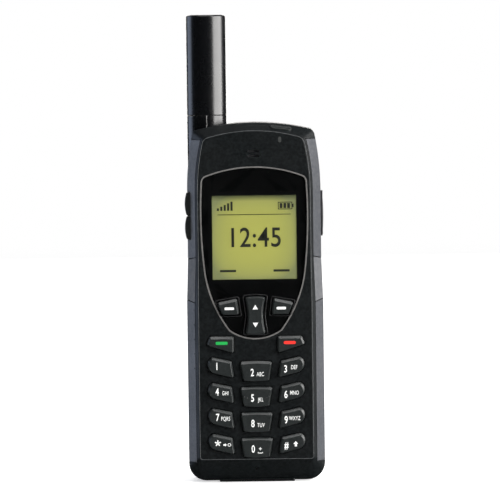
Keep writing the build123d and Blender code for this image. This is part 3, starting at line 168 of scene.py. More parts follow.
def ramp(material, value, stops):
    """A colour ramp over a pattern: stops are (position, colour)."""
    node = material.node_tree.nodes.new("ShaderNodeValToRGB")
    first, last = node.color_ramp.elements
    first.position, first.color = stops[0][0], (*stops[0][1], 1.0)
    last.position, last.color = stops[-1][0], (*stops[-1][1], 1.0)
    for position, colour in stops[1:-1]:
        element = node.color_ramp.elements.new(position)
        element.color = (*colour, 1.0)
    material.node_tree.links.new(value, node.inputs["Fac"])
    return node.outputs["Color"]


def spread(material, value, low, high):
    """A noise pattern, which mostly stays between NOISE_LOW and NOISE_HIGH, stretched to a range."""
    node = material.node_tree.nodes.new("ShaderNodeMapRange")
    node.inputs["From Min"].default_value = NOISE_LOW
    node.inputs["From Max"].default_value = NOISE_HIGH
    node.inputs["To Min"].default_value = low
    node.inputs["To Max"].default_value = high
    material.node_tree.links.new(value, node.inputs["Value"])
    return node.outputs["Result"]


def bump(material, shader, layers, edge_radius=0.12 * MM):
    """Fine relief from (pattern, strength, height) layers, over edges rounded in the shader."""
    tree = material.node_tree
    edge = tree.nodes.new("ShaderNodeBevel")
    edge.samples = 4
    edge.inputs["Radius"].default_value = edge_radius
    normal = edge.outputs["Normal"]
    for pattern, strength, height in layers:
        node = tree.nodes.new("ShaderNodeBump")
        node.inputs["Strength"].default_value = strength
        node.inputs["Distance"].default_value = height
        tree.links.new(pattern, node.inputs["Height"])
        tree.links.new(normal, node.inputs["Normal"])
        normal = node.outputs["Normal"]
    tree.links.new(normal, shader.inputs["Normal"])


def link(material, source, shader, socket):
    """Feeds a pattern into one of the shader's sockets."""
    material.node_tree.links.new(source, shader.inputs[socket])


def textured_plastic(name, dark, light, roughness, grain, grain_height, edge=0.12 * MM, sheen=0.45):
    """Moulded plastic: spark-eroded grain, slow colour drift and uneven sheen."""
    material, shader = new_material(name, light, roughness, Specular_IOR_Level=sheen)
    drift = noise(material, 90.0, 4.0)
    fine = noise(material, grain, 2.0, 0.6)
    coarse = noise(material, grain / 3.0, 4.0, 0.7)
    link(material, ramp(material, coarse, [(0.40, dark), (0.62, light)]), shader, "Base Color")
    link(material, spread(material, drift, roughness - 0.06, roughness + 0.06), shader, "Roughness")
    bump(material, shader, [(coarse, 0.25, grain_height), (fine, 0.5, grain_height)], edge)
    return material


# ---------------------------------------------------------------- materials
housing = textured_plastic(
    "housing_black", (0.0024, 0.0036, 0.0042), (0.0085, 0.0110, 0.0118), 0.44, 3200.0, 0.03 * MM,
    sheen=0.28
)
rail = textured_plastic(
    "rail_grey", (0.046, 0.049, 0.056), (0.068, 0.071, 0.078), 0.40, 2600.0, 0.02 * MM
)
grip = textured_plastic(
    "grip_rubber", (0.072, 0.075, 0.082), (0.098, 0.100, 0.106), 0.50, 1800.0, 0.03 * MM
)
soft_rubber = textured_plastic(
    "soft_rubber", (0.012, 0.012, 0.014), (0.024, 0.024, 0.027), 0.62, 1800.0, 0.03 * MM
)
key_plastic = textured_plastic(
    "key_grey", (0.013, 0.0160, 0.0160), (0.020, 0.0235, 0.0235), 0.34, 4200.0, 0.012 * MM, 0.3 * MM,
    sheen=0.55
)


def antenna_plastic():
    """Satin black moulding with faint draw lines along its length."""
    material, shader = new_material(
        "antenna_black", (0.003, 0.003, 0.004), 0.25, Specular_IOR_Level=0.55, Coat_Weight=0.45,
        Coat_Roughness=0.22,
    )
    lines = noise(material, 700.0, 2.0, 0.5, (1.0, 1.0, 0.04))
    fine = noise(material, 3600.0, 2.0, 0.6)
    smears = noise(material, 60.0, 5.0, 0.6)
    link(material, spread(material, smears, 0.22, 0.33), shader, "Roughness")
    colour = ramp(material, fine, [(0.3, (0.0015, 0.0018, 0.0025)), (0.7, (0.0035, 0.0040, 0.0050))])
    link(material, colour, shader, "Base Color")
    bump(material, shader, [(lines, 0.12, 0.02 * MM), (fine, 0.2, 0.01 * MM)], 0.25 * MM)
    return material


def lens_black():
    """The black print behind the lens."""
    material, shader = new_material("lens_black", (0.0012, 0.0012, 0.0016), 0.30)
    flecks = noise(material, 5200.0, 2.0)
    link(
        material, ramp(material, flecks, [(0.4, (0.0010, 0.0010, 0.0014)), (0.8, (0.0018, 0.0018, 0.0024))]),
        shader, "Base Color",
    )
    link(material, spread(material, noise(material, 80.0), 0.26, 0.36), shader, "Roughness")
    return material


def clear_plate():
    """A clear window: light passes straight through, and only its outer faces mirror."""
    material = bpy.data.materials.new("lens_clear")
    material.use_nodes = True
    tree = material.node_tree
    tree.nodes.clear()
    clear = tree.nodes.new("ShaderNodeBsdfTransparent")
    clear.inputs["Color"].default_value = (0.97, 0.98, 0.97, 1.0)
    mirror = tree.nodes.new("ShaderNodeBsdfGlossy")
    mirror.inputs["Roughness"].default_value = 0.03
    fresnel = tree.nodes.new("ShaderNodeFresnel")
    fresnel.inputs["IOR"].default_value = 1.45
    mix = tree.nodes.new("ShaderNodeMixShader")
    out = tree.nodes.new("ShaderNodeOutputMaterial")
    smudge = tree.nodes.new("ShaderNodeBump")
    smudge.inputs["Strength"].default_value = 0.03
    smudge.inputs["Distance"].default_value = 0.01 * MM
    tree.links.new(noise(material, 120.0, 3.0), smudge.inputs["Height"])
    tree.links.new(smudge.outputs["Normal"], mirror.inputs["Normal"])
    surface = tree.nodes.new("ShaderNodeNewGeometry")
    outer_face = tree.nodes.new("ShaderNodeMath")
    outer_face.operation = "SUBTRACT"
    outer_face.inputs[0].default_value = 1.0
    tree.links.new(surface.outputs["Backfacing"], outer_face.inputs[1])
    mirrored = tree.nodes.new("ShaderNodeMath")
    mirrored.operation = "MULTIPLY"
    tree.links.new(fresnel.outputs[0], mirrored.inputs[0])
    tree.links.new(outer_face.outputs[0], mirrored.inputs[1])
    tree.links.new(mirrored.outputs[0], mix.inputs[0])
    tree.links.new(clear.outputs[0], mix.inputs[1])
    tree.links.new(mirror.outputs[0], mix.inputs[2])
    tree.links.new(mix.outputs[0], out.inputs["Surface"])
    return material


def lcd_film():
    """Yellow-green display film: a pixel grid, painted light emitted brighter in the middle and painted
    shade towards its edges, and a painted shadow under its upper edge.
    """
    material, shader = new_material("lcd_green", (0.40, 0.41, 0.11), 0.55)
    tree = material.node_tree
    low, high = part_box("lcd_panel")
    middle = [(low[k] + high[k]) / 2 for k in range(3)]
    half = (high[0] - low[0]) / 2
    split = tree.nodes.new("ShaderNodeSeparateXYZ")
    tree.links.new(place_coordinates(material), split.inputs[0])

    def step(operation, first, second):
        node = tree.nodes.new("ShaderNodeMath")
        node.operation = operation
        for index, value in enumerate((first, second)):
            if isinstance(value, (int, float)):
                node.inputs[index].default_value = value
            else:
                tree.links.new(value, node.inputs[index])
        return node.outputs[0]

    across = step("DIVIDE", step("SUBTRACT", split.outputs["X"], middle[0]), half)
    upward = step("DIVIDE", step("SUBTRACT", split.outputs["Z"], middle[2]), half)
    distance = step("ADD", step("POWER", step("ABSOLUTE", across, 0), 3.0),
                    step("POWER", step("ABSOLUTE", upward, 0), 3.0))
    # Painted shade: the film darkens from its middle out towards its edges.
    shade = ramp(
        material, distance,
        [(0.0, (0.290, 0.284, 0.058)), (0.55, (0.236, 0.238, 0.062)), (1.0, (0.150, 0.160, 0.064))],
    )
    # Painted shadow under the window's upper edge.
    painted_top_shadow = ramp(material, upward, [(0.80, (1.0, 1.0, 1.0)), (0.93, (0.22, 0.235, 0.20))])
    pixel = 0.42 * MM
    grid = []
    for axis in ("X", "Z"):
        wave = step("ABSOLUTE", step("SINE", step("MULTIPLY", split.outputs[axis], math.pi / pixel), 0), 0)
        grid.append(step("MINIMUM", step("MULTIPLY", wave, 6.0), 1.0))
    cell = ramp(material, step("MULTIPLY", *grid), [(0.0, (0.93, 0.93, 0.93)), (1.0, (1.0, 1.0, 1.0))])
    colour = shade
    for factor in (painted_top_shadow, cell):
        multiply = tree.nodes.new("ShaderNodeMix")
        multiply.data_type = "RGBA"
        multiply.blend_type = "MULTIPLY"
        multiply.inputs[0].default_value = 1.0
        tree.links.new(colour, multiply.inputs[6])
        tree.links.new(factor, multiply.inputs[7])
        colour = multiply.outputs[2]
    link(material, colour, shader, "Base Color")
    # The film's colour is also emitted as painted light, standing in for light falling on it.
    link(material, colour, shader, "Emission Color")
    shader.inputs["Emission Strength"].default_value = 0.46
    return material


def brushed_metal(name, colour, roughness):
    """Metal with a fine brushed grain."""
    material, shader = new_material(name, colour, roughness, 1.0)
    grain = noise(material, 1500.0, 3.0, 0.6, (1.0, 1.0, 0.06))
    link(material, spread(material, grain, roughness - 0.08, roughness + 0.1), shader, "Roughness")
    bump(material, shader, [(grain, 0.15, 0.01 * MM)])
    return material


def circuit_board():
    """Green solder mask with faint tracks."""
    material, shader = new_material("board_green", (0.02, 0.12, 0.05), 0.35)
    tracks = noise(material, 420.0, 1.0, 0.3, (1.0, 1.0, 0.3))
    link(material, ramp(material, tracks, [(0.48, (0.015, 0.09, 0.035)), (0.52, (0.03, 0.17, 0.07))]),
         shader, "Base Color")
    bump(material, shader, [(tracks, 0.3, 0.03 * MM)])
    return material


def printed(name, colour, roughness=0.45, painted_glow=0.0):
    """Pad-printed ink: slightly uneven coverage, with optional emission that paints light onto the ink."""
    material, shader = new_material(name, colour, roughness)
    worn = noise(material, 2600.0, 3.0, 0.6)
    faded = tuple(channel * 0.86 for channel in colour)
    link(material, ramp(material, worn, [(0.32, faded), (0.52, colour)]), shader, "Base Color")
    # Emission makes the ink brighter than the lamps light it: painted light.
    if painted_glow:
        shader.inputs["Emission Color"].default_value = (*colour, 1.0)
        shader.inputs["Emission Strength"].default_value = painted_glow
    return material


steel = brushed_metal("steel", (0.55, 0.55, 0.57), 0.35)
trim_metal = textured_plastic(
    "trim_metal", (0.11, 0.105, 0.10), (0.16, 0.155, 0.15), 0.34, 3000.0, 0.01 * MM, 0.1 * MM, sheen=0.7
)
rim_plastic = textured_plastic(
    "rim_plastic", (0.055, 0.06, 0.062), (0.10, 0.105, 0.108), 0.36, 3000.0, 0.01 * MM, 0.05 * MM
)
gold = brushed_metal("gold_contact", (0.80, 0.58, 0.26), 0.28)
battery_skin = textured_plastic(
    "battery_label", (0.020, 0.020, 0.024), (0.032, 0.032, 0.037), 0.45, 1500.0, 0.02 * MM
)
# The legends and call bars emit painted light.
white_ink = printed("legend_white", (0.86, 0.87, 0.85), painted_glow=0.10)
green_ink = printed("call_green", (0.003, 0.36, 0.060), painted_glow=0.12)
red_ink = printed("call_red", (0.80, 0.020, 0.010), painted_glow=0.12)
lcd_ink = printed("lcd_ink", (0.012, 0.014, 0.010), 0.6)
lip_plastic = textured_plastic(
    "lip_plastic", (0.016, 0.016, 0.017), (0.026, 0.026, 0.027), 0.28, 2600.0, 0.01 * MM, 0.05 * MM
)

SLOT_MATERIALS = {
    "housing_black": housing,
    "rail_grey": rail,
    "grip_rubber": grip,
    "soft_rubber": soft_rubber,
    "lens_clear": clear_plate(),
    "lens_black": lens_black(),
    "trim_metal": trim_metal,
    "lcd_green": lcd_film(),
    "steel": steel,
    "key_grey": key_plastic,
    "board_green": circuit_board(),
    "battery_label": battery_skin,
    "gold_contact": gold,
    "antenna_black": antenna_plastic(),
}
for part in frame["record"]["subparts"]:
    node = nodes[part["node"]]
    node.data.materials.clear()
    node.data.materials.append(SLOT_MATERIALS[part["material_slot"]])

nodes["status_light_pipe"].data.materials.clear()
nodes["status_light_pipe"].data.materials.append(printed("frosted_pipe", (0.045, 0.048, 0.046), 0.3))

# ---------------------------------------------------------------- printed pieces
INK_LIFT = 0.02 * MM
INK_THICKNESS = 0.02 * MM
key_top_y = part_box("key_2")[0][1] - INK_LIFT


def place(name, mesh, body, ink):
    """A finished mesh as a named piece that rides on a body."""
    piece = bpy.data.objects.new(name, mesh)
    bpy.context.scene.collection.objects.link(piece)
    mesh.materials.clear()
    mesh.materials.append(ink)
    for polygon in mesh.polygons:
        polygon.use_smooth = False
    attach(piece, body)
    return piece


def lettering(text, height, width_factor, weight):
    """A mesh of letters in the X, Z plane, centred, capital letters of that height."""
    CAPITAL_SHARE = 0.70
    curve = bpy.data.curves.new("letters", "FONT")
    curve.body = text
    curve.size = height / CAPITAL_SHARE
    curve.align_x = "CENTER"
    curve.align_y = "CENTER"
    curve.offset = weight
    curve.extrude = INK_THICKNESS / 2
    curve.space_character = 1.06
    holder = bpy.data.objects.new("letters", curve)
    bpy.context.scene.collection.objects.link(holder)
    mesh = bpy.data.meshes.new_from_object(holder.evaluated_get(bpy.context.evaluated_depsgraph_get()))
    bpy.data.objects.remove(holder)
    mesh.transform(Matrix.Rotation(math.pi / 2, 4, "X") @ Matrix.Diagonal((width_factor, 1, 1, 1)))
    return mesh


def joined(meshes):
    """Several meshes as one."""
    whole = bmesh.new()
    for mesh in meshes:
        whole.from_mesh(mesh)
    result = bpy.data.meshes.new("joined")
    whole.to_mesh(result)
    whole.free()
    return result


def moved(mesh, x, y, z):
    """The mesh with its middle carried to a place."""
    mesh.transform(Matrix.Translation((x, y, z)))
    return mesh


def plate(points, thickness=INK_THICKNESS):
    """A flat plate with a drawn (x, z) outline, standing in the X, Z plane."""
    shape = bmesh.new()
    rim = [shape.verts.new((x, 0, z)) for x, z in points]
    face = shape.faces.new(rim)
    face.normal_update()
    thick = bmesh.ops.extrude_face_region(shape, geom=[face])
    new_points = [item for item in thick["geom"] if isinstance(item, bmesh.types.BMVert)]
    bmesh.ops.translate(shape, verts=new_points, vec=(0, thickness, 0))
    bmesh.ops.translate(shape, verts=shape.verts, vec=(0, -thickness / 2, 0))
    bmesh.ops.recalc_face_normals(shape, faces=shape.faces)
    mesh = bpy.data.meshes.new("plate")
    shape.to_mesh(mesh)
    shape.free()
    return mesh


def rounded_bar(width, height, radius, steps=6):
    """Outline points of a bar with rounded corners, centred."""
    points = []
    for corner, (sx, sz) in enumerate(((1, 1), (-1, 1), (-1, -1), (1, -1))):
        for step in range(steps + 1):
            angle = math.pi / 2 * (corner + step / steps)
            points.append((
                sx * (width / 2 - radius) + radius * math.cos(angle),
                sz * (height / 2 - radius) + radius * math.sin(angle),
            ))
    return points


def disc(radius, steps=20):
    """A flat round plate."""
    return plate([
        (radius * math.cos(2 * math.pi * k / steps), radius * math.sin(2 * math.pi * k / steps))
        for k in range(steps)
    ])


def ring(outer, inner, steps=20):
    """A flat ring."""
    shape = bmesh.new()
    loops = []
    for y in (-INK_THICKNESS / 2, INK_THICKNESS / 2):
        for radius in (outer, inner):
            loops.append([
                shape.verts.new((
                    radius * math.cos(2 * math.pi * k / steps), y, radius * math.sin(2 * math.pi * k / steps)
                ))
                for k in range(steps)
            ])
    for first, second in ((0, 1), (2, 3), (0, 2), (1, 3)):
        for k in range(steps):
            after = (k + 1) % steps
            shape.faces.new((
                loops[first][k], loops[first][after], loops[second][after], loops[second][k]
            ))
    bmesh.ops.recalc_face_normals(shape, faces=shape.faces)
    mesh = bpy.data.meshes.new("ring")
    shape.to_mesh(mesh)
    shape.free()
    return mesh


def arrow(length, width, angle):
    """A block arrow pointing along angle, from +X towards +Z."""
    shaft, head = width * 0.22, length * 0.5
    points = [
        (-length / 2, -shaft), (length / 2 - head, -shaft), (length / 2 - head, -width / 2),
        (length / 2, 0), (length / 2 - head, width / 2), (length / 2 - head, shaft), (-length / 2, shaft),
    ]
    cos, sin = math.cos(angle), math.sin(angle)
    return plate([(x * cos - z * sin, x * sin + z * cos) for x, z in points])


DIGIT_HEIGHT = 2.85 * MM
LETTER_HEIGHT = 1.6 * MM
DIGIT_WIDTH = 0.68
LETTER_WIDTH = 0.64
DIGIT_WEIGHT = 0.06 * MM
LETTER_WEIGHT = 0.01 * MM
STAR_ARMS = 5
ARM_LENGTH, ARM_WIDTH, ARM_CORNER = 2.5 * MM, 0.46 * MM, 0.15 * MM
ARM_REACH = 0.62 * MM
STAR_MARK_DROP = 0.2 * MM
STAR_ARROW_LENGTH, STAR_ARROW_WIDTH, STAR_ARROW_SHIFT = 1.35 * MM, 1.4 * MM, -0.35 * MM
STAR_RING_OUTER, STAR_RING_INNER, STAR_RING_SHIFT = 0.68 * MM, 0.46 * MM, 1.35 * MM
STROKE = 0.28 * MM
ZERO_MARK_SHIFT = 0.4 * MM
PLUS_SIZE, PLUS_RISE = 1.2 * MM, 0.8 * MM
SPACE_WIDTH, SPACE_DROP = 2.0 * MM, 0.9 * MM
SHIFT_ARROW_LENGTH, SHIFT_ARROW_WIDTH, SHIFT_ARROW_SHIFT = 2.1 * MM, 1.9 * MM, 0.3 * MM
ROW_PITCH = 10.13 * MM
KEY_GRID = [("1", "2", "3"), ("4", "5", "6"), ("7", "8", "9"), ("star", "0", "hash")]
LETTERS = {
    "2": "ABC", "3": "DEF", "4": "GHI", "5": "JKL", "6": "MNO", "7": "PQRS", "8": "TUV", "9": "WXYZ",
}
# Each column: where the digit and its letters stand on the first row's key.
COLUMNS = [
    ((-15.5 * MM, 46.6 * MM), (-12.3 * MM, 46.1 * MM)),
    ((-1.5 * MM, 44.0 * MM), (1.7 * MM, 43.4 * MM)),
    ((11.7 * MM, 45.3 * MM), (15.1 * MM, 46.0 * MM)),
]


def stroke(width, height, x, z):
    """A short printed stroke on a key."""
    return moved(plate(rounded_bar(width, height, STROKE / 3)), x, key_top_y, z)


for row, names in enumerate(KEY_GRID):
    for column, key in enumerate(names):
        drop = row * ROW_PITCH
        (digit_x, digit_z), (side_x, side_z) = COLUMNS[column]
        digit_z, side_z = digit_z - drop, side_z - drop
        body = f"key_{key}"
        sign = {"star": "*", "hash": "#"}.get(key, key)
        if key == "star":
            arms = []
            for turn in range(STAR_ARMS):
                arm = plate(rounded_bar(ARM_LENGTH, ARM_WIDTH, ARM_CORNER))
                arm.transform(Matrix.Translation((ARM_REACH, 0, 0)) @ Matrix.Diagonal((0.5, 1, 1, 1)))
                arm.transform(Matrix.Rotation(-2 * math.pi * turn / STAR_ARMS - math.pi / 2, 4, "Y"))
                arms.append(arm)
            main = joined(arms)
        else:
            main = lettering(sign, DIGIT_HEIGHT, DIGIT_WIDTH, DIGIT_WEIGHT)
        pieces = [moved(main, digit_x, key_top_y, digit_z)]
        if key in LETTERS:
            side_mesh = lettering(LETTERS[key], LETTER_HEIGHT, LETTER_WIDTH, LETTER_WEIGHT)
            pieces.append(moved(side_mesh, side_x, key_top_y, side_z))
        elif key == "star":
            mark_z = side_z - STAR_MARK_DROP
            star_arrow = arrow(STAR_ARROW_LENGTH, STAR_ARROW_WIDTH, 0)
            pieces.append(moved(star_arrow, side_x + STAR_ARROW_SHIFT, key_top_y, mark_z))
            star_ring = ring(STAR_RING_OUTER, STAR_RING_INNER)
            pieces.append(moved(star_ring, side_x + STAR_RING_SHIFT, key_top_y, mark_z))
        elif key == "0":
            mark_x = side_x - ZERO_MARK_SHIFT
            for width, height in ((PLUS_SIZE, STROKE), (STROKE, PLUS_SIZE)):
                pieces.append(stroke(width, height, mark_x, side_z + PLUS_RISE))
            space_z = side_z - SPACE_DROP
            pieces.append(stroke(SPACE_WIDTH, STROKE, mark_x, space_z))
            for end in (-1, 1):
                tick_x = mark_x + end * (SPACE_WIDTH - STROKE) / 2
                pieces.append(stroke(STROKE, 2 * STROKE, tick_x, space_z + STROKE / 2))
        elif key == "hash":
            shift_arrow = arrow(SHIFT_ARROW_LENGTH, SHIFT_ARROW_WIDTH, math.pi / 2)
            pieces.append(moved(shift_arrow, side_x + SHIFT_ARROW_SHIFT, key_top_y, side_z))
        place(f"legend_{key}", joined(pieces), body, white_ink)

SOFT_BAR_X, SOFT_BAR_Z = 10.3 * MM, 69.6 * MM
CALL_BAR_X, CALL_BAR_Z = 13.5 * MM, 55.9 * MM
for side, key in ((-1, "soft_key_left"), (1, "soft_key_right")):
    bar = plate(rounded_bar(3.7 * MM, 1.0 * MM, 0.3 * MM))
    bar = moved(bar, side * SOFT_BAR_X, key_top_y, SOFT_BAR_Z)
    place(f"bar_{key}", bar, key, white_ink)
for side, key, ink, slot in (
    (-1, "key_send", green_ink, "call_green"), (1, "key_end", red_ink, "call_red"),
):
    bar = plate(rounded_bar(4.7 * MM, 1.25 * MM, 0.5 * MM))
    place(f"bar_{key}", moved(bar, side * CALL_BAR_X, key_top_y, CALL_BAR_Z), key, ink)
UP_ARROW_Z, DOWN_ARROW_Z = 70.0 * MM, 63.1 * MM
triangle = [(-1.05 * MM, -0.8 * MM), (1.05 * MM, -0.8 * MM), (0, 1.0 * MM)]
up_arrow = moved(plate(triangle), 0, key_top_y, UP_ARROW_Z)
down_arrow = moved(plate([(x, -z) for x, z in reversed(triangle)]), 0, key_top_y, DOWN_ARROW_Z)
place("rocker_arrows", joined([up_arrow, down_arrow]), "nav_rocker", white_ink)

# ---------------------------------------------------------------- pips on the 5 key, painted shade of the dimples on the left rail
PIP_RADIUS = 0.32 * MM
PIP_REACH = 4.9 * MM
PIP_Z = 34.5 * MM
five_low, five_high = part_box("key_5")
for side, name in ((-1, "five_pip_left"), (1, "five_pip_right")):
    dome = bmesh.new()
    bmesh.ops.create_uvsphere(dome, u_segments=20, v_segments=12, radius=PIP_RADIUS)
    pip_mesh = bpy.data.meshes.new(name)
    dome.to_mesh(pip_mesh)
    dome.free()
    pip_x = (five_low[0] + five_high[0]) / 2 + side * PIP_REACH
    pip = place(name, moved(pip_mesh, pip_x, five_low[1], PIP_Z), "key_5", key_plastic)
    for polygon in pip.data.polygons:
        polygon.use_smooth = True

DOT_COUNT = 5
DOT_PITCH = 5.8 * MM
DOT_X, DOT_TOP = -24.3 * MM, 68.9 * MM
DOT_RADIUS, DOT_RIM = 0.36 * MM, 0.24 * MM
CAST_FROM_Y = -50 * MM
# Flat black discs and rings stand in for the rail's dimples: their darkness is painted shade in the
# recesses.
dimple_shade_plastic = textured_plastic(
    "dimple_painted_shade", (0.0015, 0.0015, 0.002), (0.003, 0.003, 0.004), 0.5, 2600.0, 0.01 * MM, 0.05 * MM
)
rail_piece = nodes["rail_lower_left"]
to_rail = rail_piece.matrix_world.inverted()
dots = []
for index in range(DOT_COUNT):
    start = to_rail @ Vector((DOT_X, CAST_FROM_Y, DOT_TOP - index * DOT_PITCH))
    found, spot, normal, _ = rail_piece.ray_cast(start, Vector((0, 1, 0)))
    if not found:
        raise RuntimeError("the rail is not under its dots")
    for shape in (disc(DOT_RIM), ring(DOT_RADIUS, DOT_RIM)):
        shape.transform(Vector((0, -1, 0)).rotation_difference(normal).to_matrix().to_4x4())
        dots.append(moved(shape, *(spot + normal * INK_LIFT)))
place("rail_dimple_shade", joined(dots), ROOT, dimple_shade_plastic)

# ---------------------------------------------------------------- lips round the openings in the lens
LIP_RADIUS = 0.15 * MM
LIP_MARGIN = 0.75 * MM
LIP_CORNER = 0.9 * MM
CORNER_STEPS = 6
lens_front_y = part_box("display_lens")[0][1]


def rounded_corners(corners):
    """A closed outline's (x, z, radius) corners, each as a short quadratic curve."""
    points = []
    for index, (x, z, radius) in enumerate(corners):
        before, after = Vector(corners[index - 1][:2]), Vector(corners[(index + 1) % len(corners)][:2])
        here = Vector((x, z))
        if not radius:
            points.append(here)
            continue
        start = here + (before - here).normalized() * radius
        end = here + (after - here).normalized() * radius
        for step in range(CORNER_STEPS + 1):
            share = step / CORNER_STEPS
            points.append((1 - share) ** 2 * start + 2 * share * (1 - share) * here + share**2 * end)
    return points


def beading(name, points, y, radius, material):
    """A fine raised bead along a closed outline of (x, z) points."""
    curve = bpy.data.curves.new(name, "CURVE")
    curve.dimensions = "3D"
    curve.bevel_depth = radius
    curve.bevel_resolution = 3
    spline = curve.splines.new("POLY")
    spline.points.add(len(points) - 1)
    for target_point, (x, z) in zip(spline.points, points):
        target_point.co = (x, y, z, 1.0)
    spline.use_cyclic_u = True
    holder = bpy.data.objects.new(name, curve)
    bpy.context.scene.collection.objects.link(holder)
    mesh = bpy.data.meshes.new_from_object(holder.evaluated_get(bpy.context.evaluated_depsgraph_get()))
    bpy.data.objects.remove(holder)
    return place(name, mesh, ROOT, material)


def lip(name, corners):
    """A lip on the lens round one key's opening."""
    path = rounded_corners([(x, z, LIP_CORNER) for x, z in corners])
    beading(name, path, lens_front_y, LIP_RADIUS, lip_plastic)


SOFT_KEY_CORNERS = [(7.3, 73.5), (15.2, 71.9), (13.1, 67.2), (6.3, 67.2)]
soft_middle = [sum(corner[k] for corner in SOFT_KEY_CORNERS) / 4 for k in range(2)]
for side, name in ((-1, "lens_lip_left"), (1, "lens_lip_right")):
    corners = []
    for x, z in SOFT_KEY_CORNERS:
        grow_x = math.copysign(LIP_MARGIN, x - soft_middle[0])
        grow_z = math.copysign(LIP_MARGIN, z - soft_middle[1])
        corners.append((side * (x * MM + grow_x), z * MM + grow_z))
    lip(name, corners)
ROCKER_END, ROCKER_WAIST = 4.1 * MM + LIP_MARGIN, 3.05 * MM + LIP_MARGIN
rocker_low, rocker_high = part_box("nav_rocker")
rocker_middle = (rocker_low[2] + rocker_high[2]) / 2
lip("lens_lip_rocker", [
    (-ROCKER_END, rocker_high[2] + LIP_MARGIN / 2), (0, rocker_high[2] + LIP_MARGIN),
    (ROCKER_END, rocker_high[2] + LIP_MARGIN / 2), (ROCKER_WAIST, rocker_middle),
    (ROCKER_END, rocker_low[2]), (-ROCKER_END, rocker_low[2]), (-ROCKER_WAIST, rocker_middle),
])

# ---------------------------------------------------------------- bead round the front panel
PANEL_HALF, PANEL_HIP = 22.3 * MM, 0.2 * MM
HIP_LOW, HIP_TOP = 71.7 * MM, 88.7 * MM
SHOULDER, PANEL_LOW, PANEL_TOP = 116.0 * MM, 9.6 * MM, 139.9 * MM
PANEL_TAPER, ARCH_DROP = 2.5 * MM, 3.1 * MM
ARCH_STEPS = 16
FLANK_STEPS = 8
BEAD_RADIUS = 0.13 * MM
flank_top = PANEL_TOP - ARCH_DROP
right_side = [
    (PANEL_HALF + PANEL_HIP, PANEL_LOW, 1.2 * MM), (PANEL_HALF + PANEL_HIP, HIP_LOW, 0.0),
    (PANEL_HALF, HIP_TOP, 0.0),
]
for step in range(FLANK_STEPS):
    share = step / FLANK_STEPS
    right_side.append((PANEL_HALF - PANEL_TAPER * share**2, SHOULDER + (flank_top - SHOULDER) * share, 0.0))
panel_corner = PANEL_HALF - PANEL_TAPER
right_side.append((panel_corner, flank_top, 1.9 * MM))
arch = []
for step in range(1, ARCH_STEPS):
    x = panel_corner * (1 - 2 * step / ARCH_STEPS)
    arch.append((x, PANEL_TOP - ARCH_DROP * (x / panel_corner) ** 2, 0.0))
left_side = [(-x, z, radius) for x, z, radius in reversed(right_side)]
panel_line = rounded_corners(right_side + arch + left_side)
beading("panel_bead", panel_line, panel_front + BEAD_RADIUS, BEAD_RADIUS, rim_plastic)

# ---------------------------------------------------------------- print round the display window
WINDOW_HALF, WINDOW_LOW, WINDOW_TOP = 16.7 * MM, 81.0 * MM, 114.3 * MM
PRINT_WIDTH = 1.6 * MM
PRINT_LIFT = 0.06 * MM
print_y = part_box("display_lens")[1][1] - PRINT_LIFT
window_height = WINDOW_TOP - WINDOW_LOW
window_middle = (WINDOW_TOP + WINDOW_LOW) / 2
bands = []
for side in (-1, 1):
    upright = plate(rounded_bar(PRINT_WIDTH, window_height + 2 * PRINT_WIDTH, PRINT_LIFT))
    bands.append(moved(upright, side * (WINDOW_HALF + PRINT_WIDTH / 2), print_y, window_middle))
    crossbar = plate(rounded_bar(2 * WINDOW_HALF, PRINT_WIDTH, PRINT_LIFT))
    bands.append(moved(crossbar, 0, print_y, window_middle + side * (window_height + PRINT_WIDTH) / 2))
place("window_print", joined(bands), ROOT, SLOT_MATERIALS["lens_black"])

# ---------------------------------------------------------------- display content
film_low, film_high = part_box("lcd_panel")
screen_y = film_low[1] - INK_LIFT
screen_x = (film_low[0] + film_high[0]) / 2
FINE_CORNER = 0.05 * MM
CLOCK_HEIGHT, CLOCK_WIDTH_FACTOR, CLOCK_WEIGHT = 7.6 * MM, 0.86, 0.10 * MM
CLOCK_Z = 97.2 * MM
SIGNAL_BARS = 5
SIGNAL_WIDTH, SIGNAL_PITCH, SIGNAL_INSET = 0.85 * MM, 1.35 * MM, 2.4 * MM
SIGNAL_SHORTEST, SIGNAL_GROWTH = 1.0 * MM, 0.65 * MM
SIGNAL_FOOT = WINDOW_TOP - 6.0 * MM
BATTERY_X, BATTERY_Z = WINDOW_HALF - 4.4 * MM, WINDOW_TOP - 4.2 * MM
BATTERY_LENGTH, BATTERY_HEIGHT, BATTERY_LINE = 5.6 * MM, 3.0 * MM, 0.3 * MM
BATTERY_END = 2.7 * MM
POLE_WIDTH, POLE_HEIGHT, POLE_X = 0.5 * MM, 1.4 * MM, 3.1 * MM
BATTERY_CELLS = 3
CELL_WIDTH, CELL_HEIGHT, CELL_PITCH, FIRST_CELL = 1.1 * MM, 2.0 * MM, 1.5 * MM, -1.6 * MM
RULE_LENGTH, RULE_HEIGHT, RULE_DROP = 29.0 * MM, 0.28 * MM, 7.6 * MM
SOFT_MARK_LENGTH, SOFT_MARK_HEIGHT, SOFT_MARK_CORNER = 6.4 * MM, 0.9 * MM, 0.2 * MM
SOFT_MARK_X, SOFT_MARK_RISE = 10.6 * MM, 3.4 * MM


def screen_bar(width, height, x, z, corner=FINE_CORNER):
    """A dark bar on the display."""
    return moved(plate(rounded_bar(width, height, corner)), x, screen_y, z)


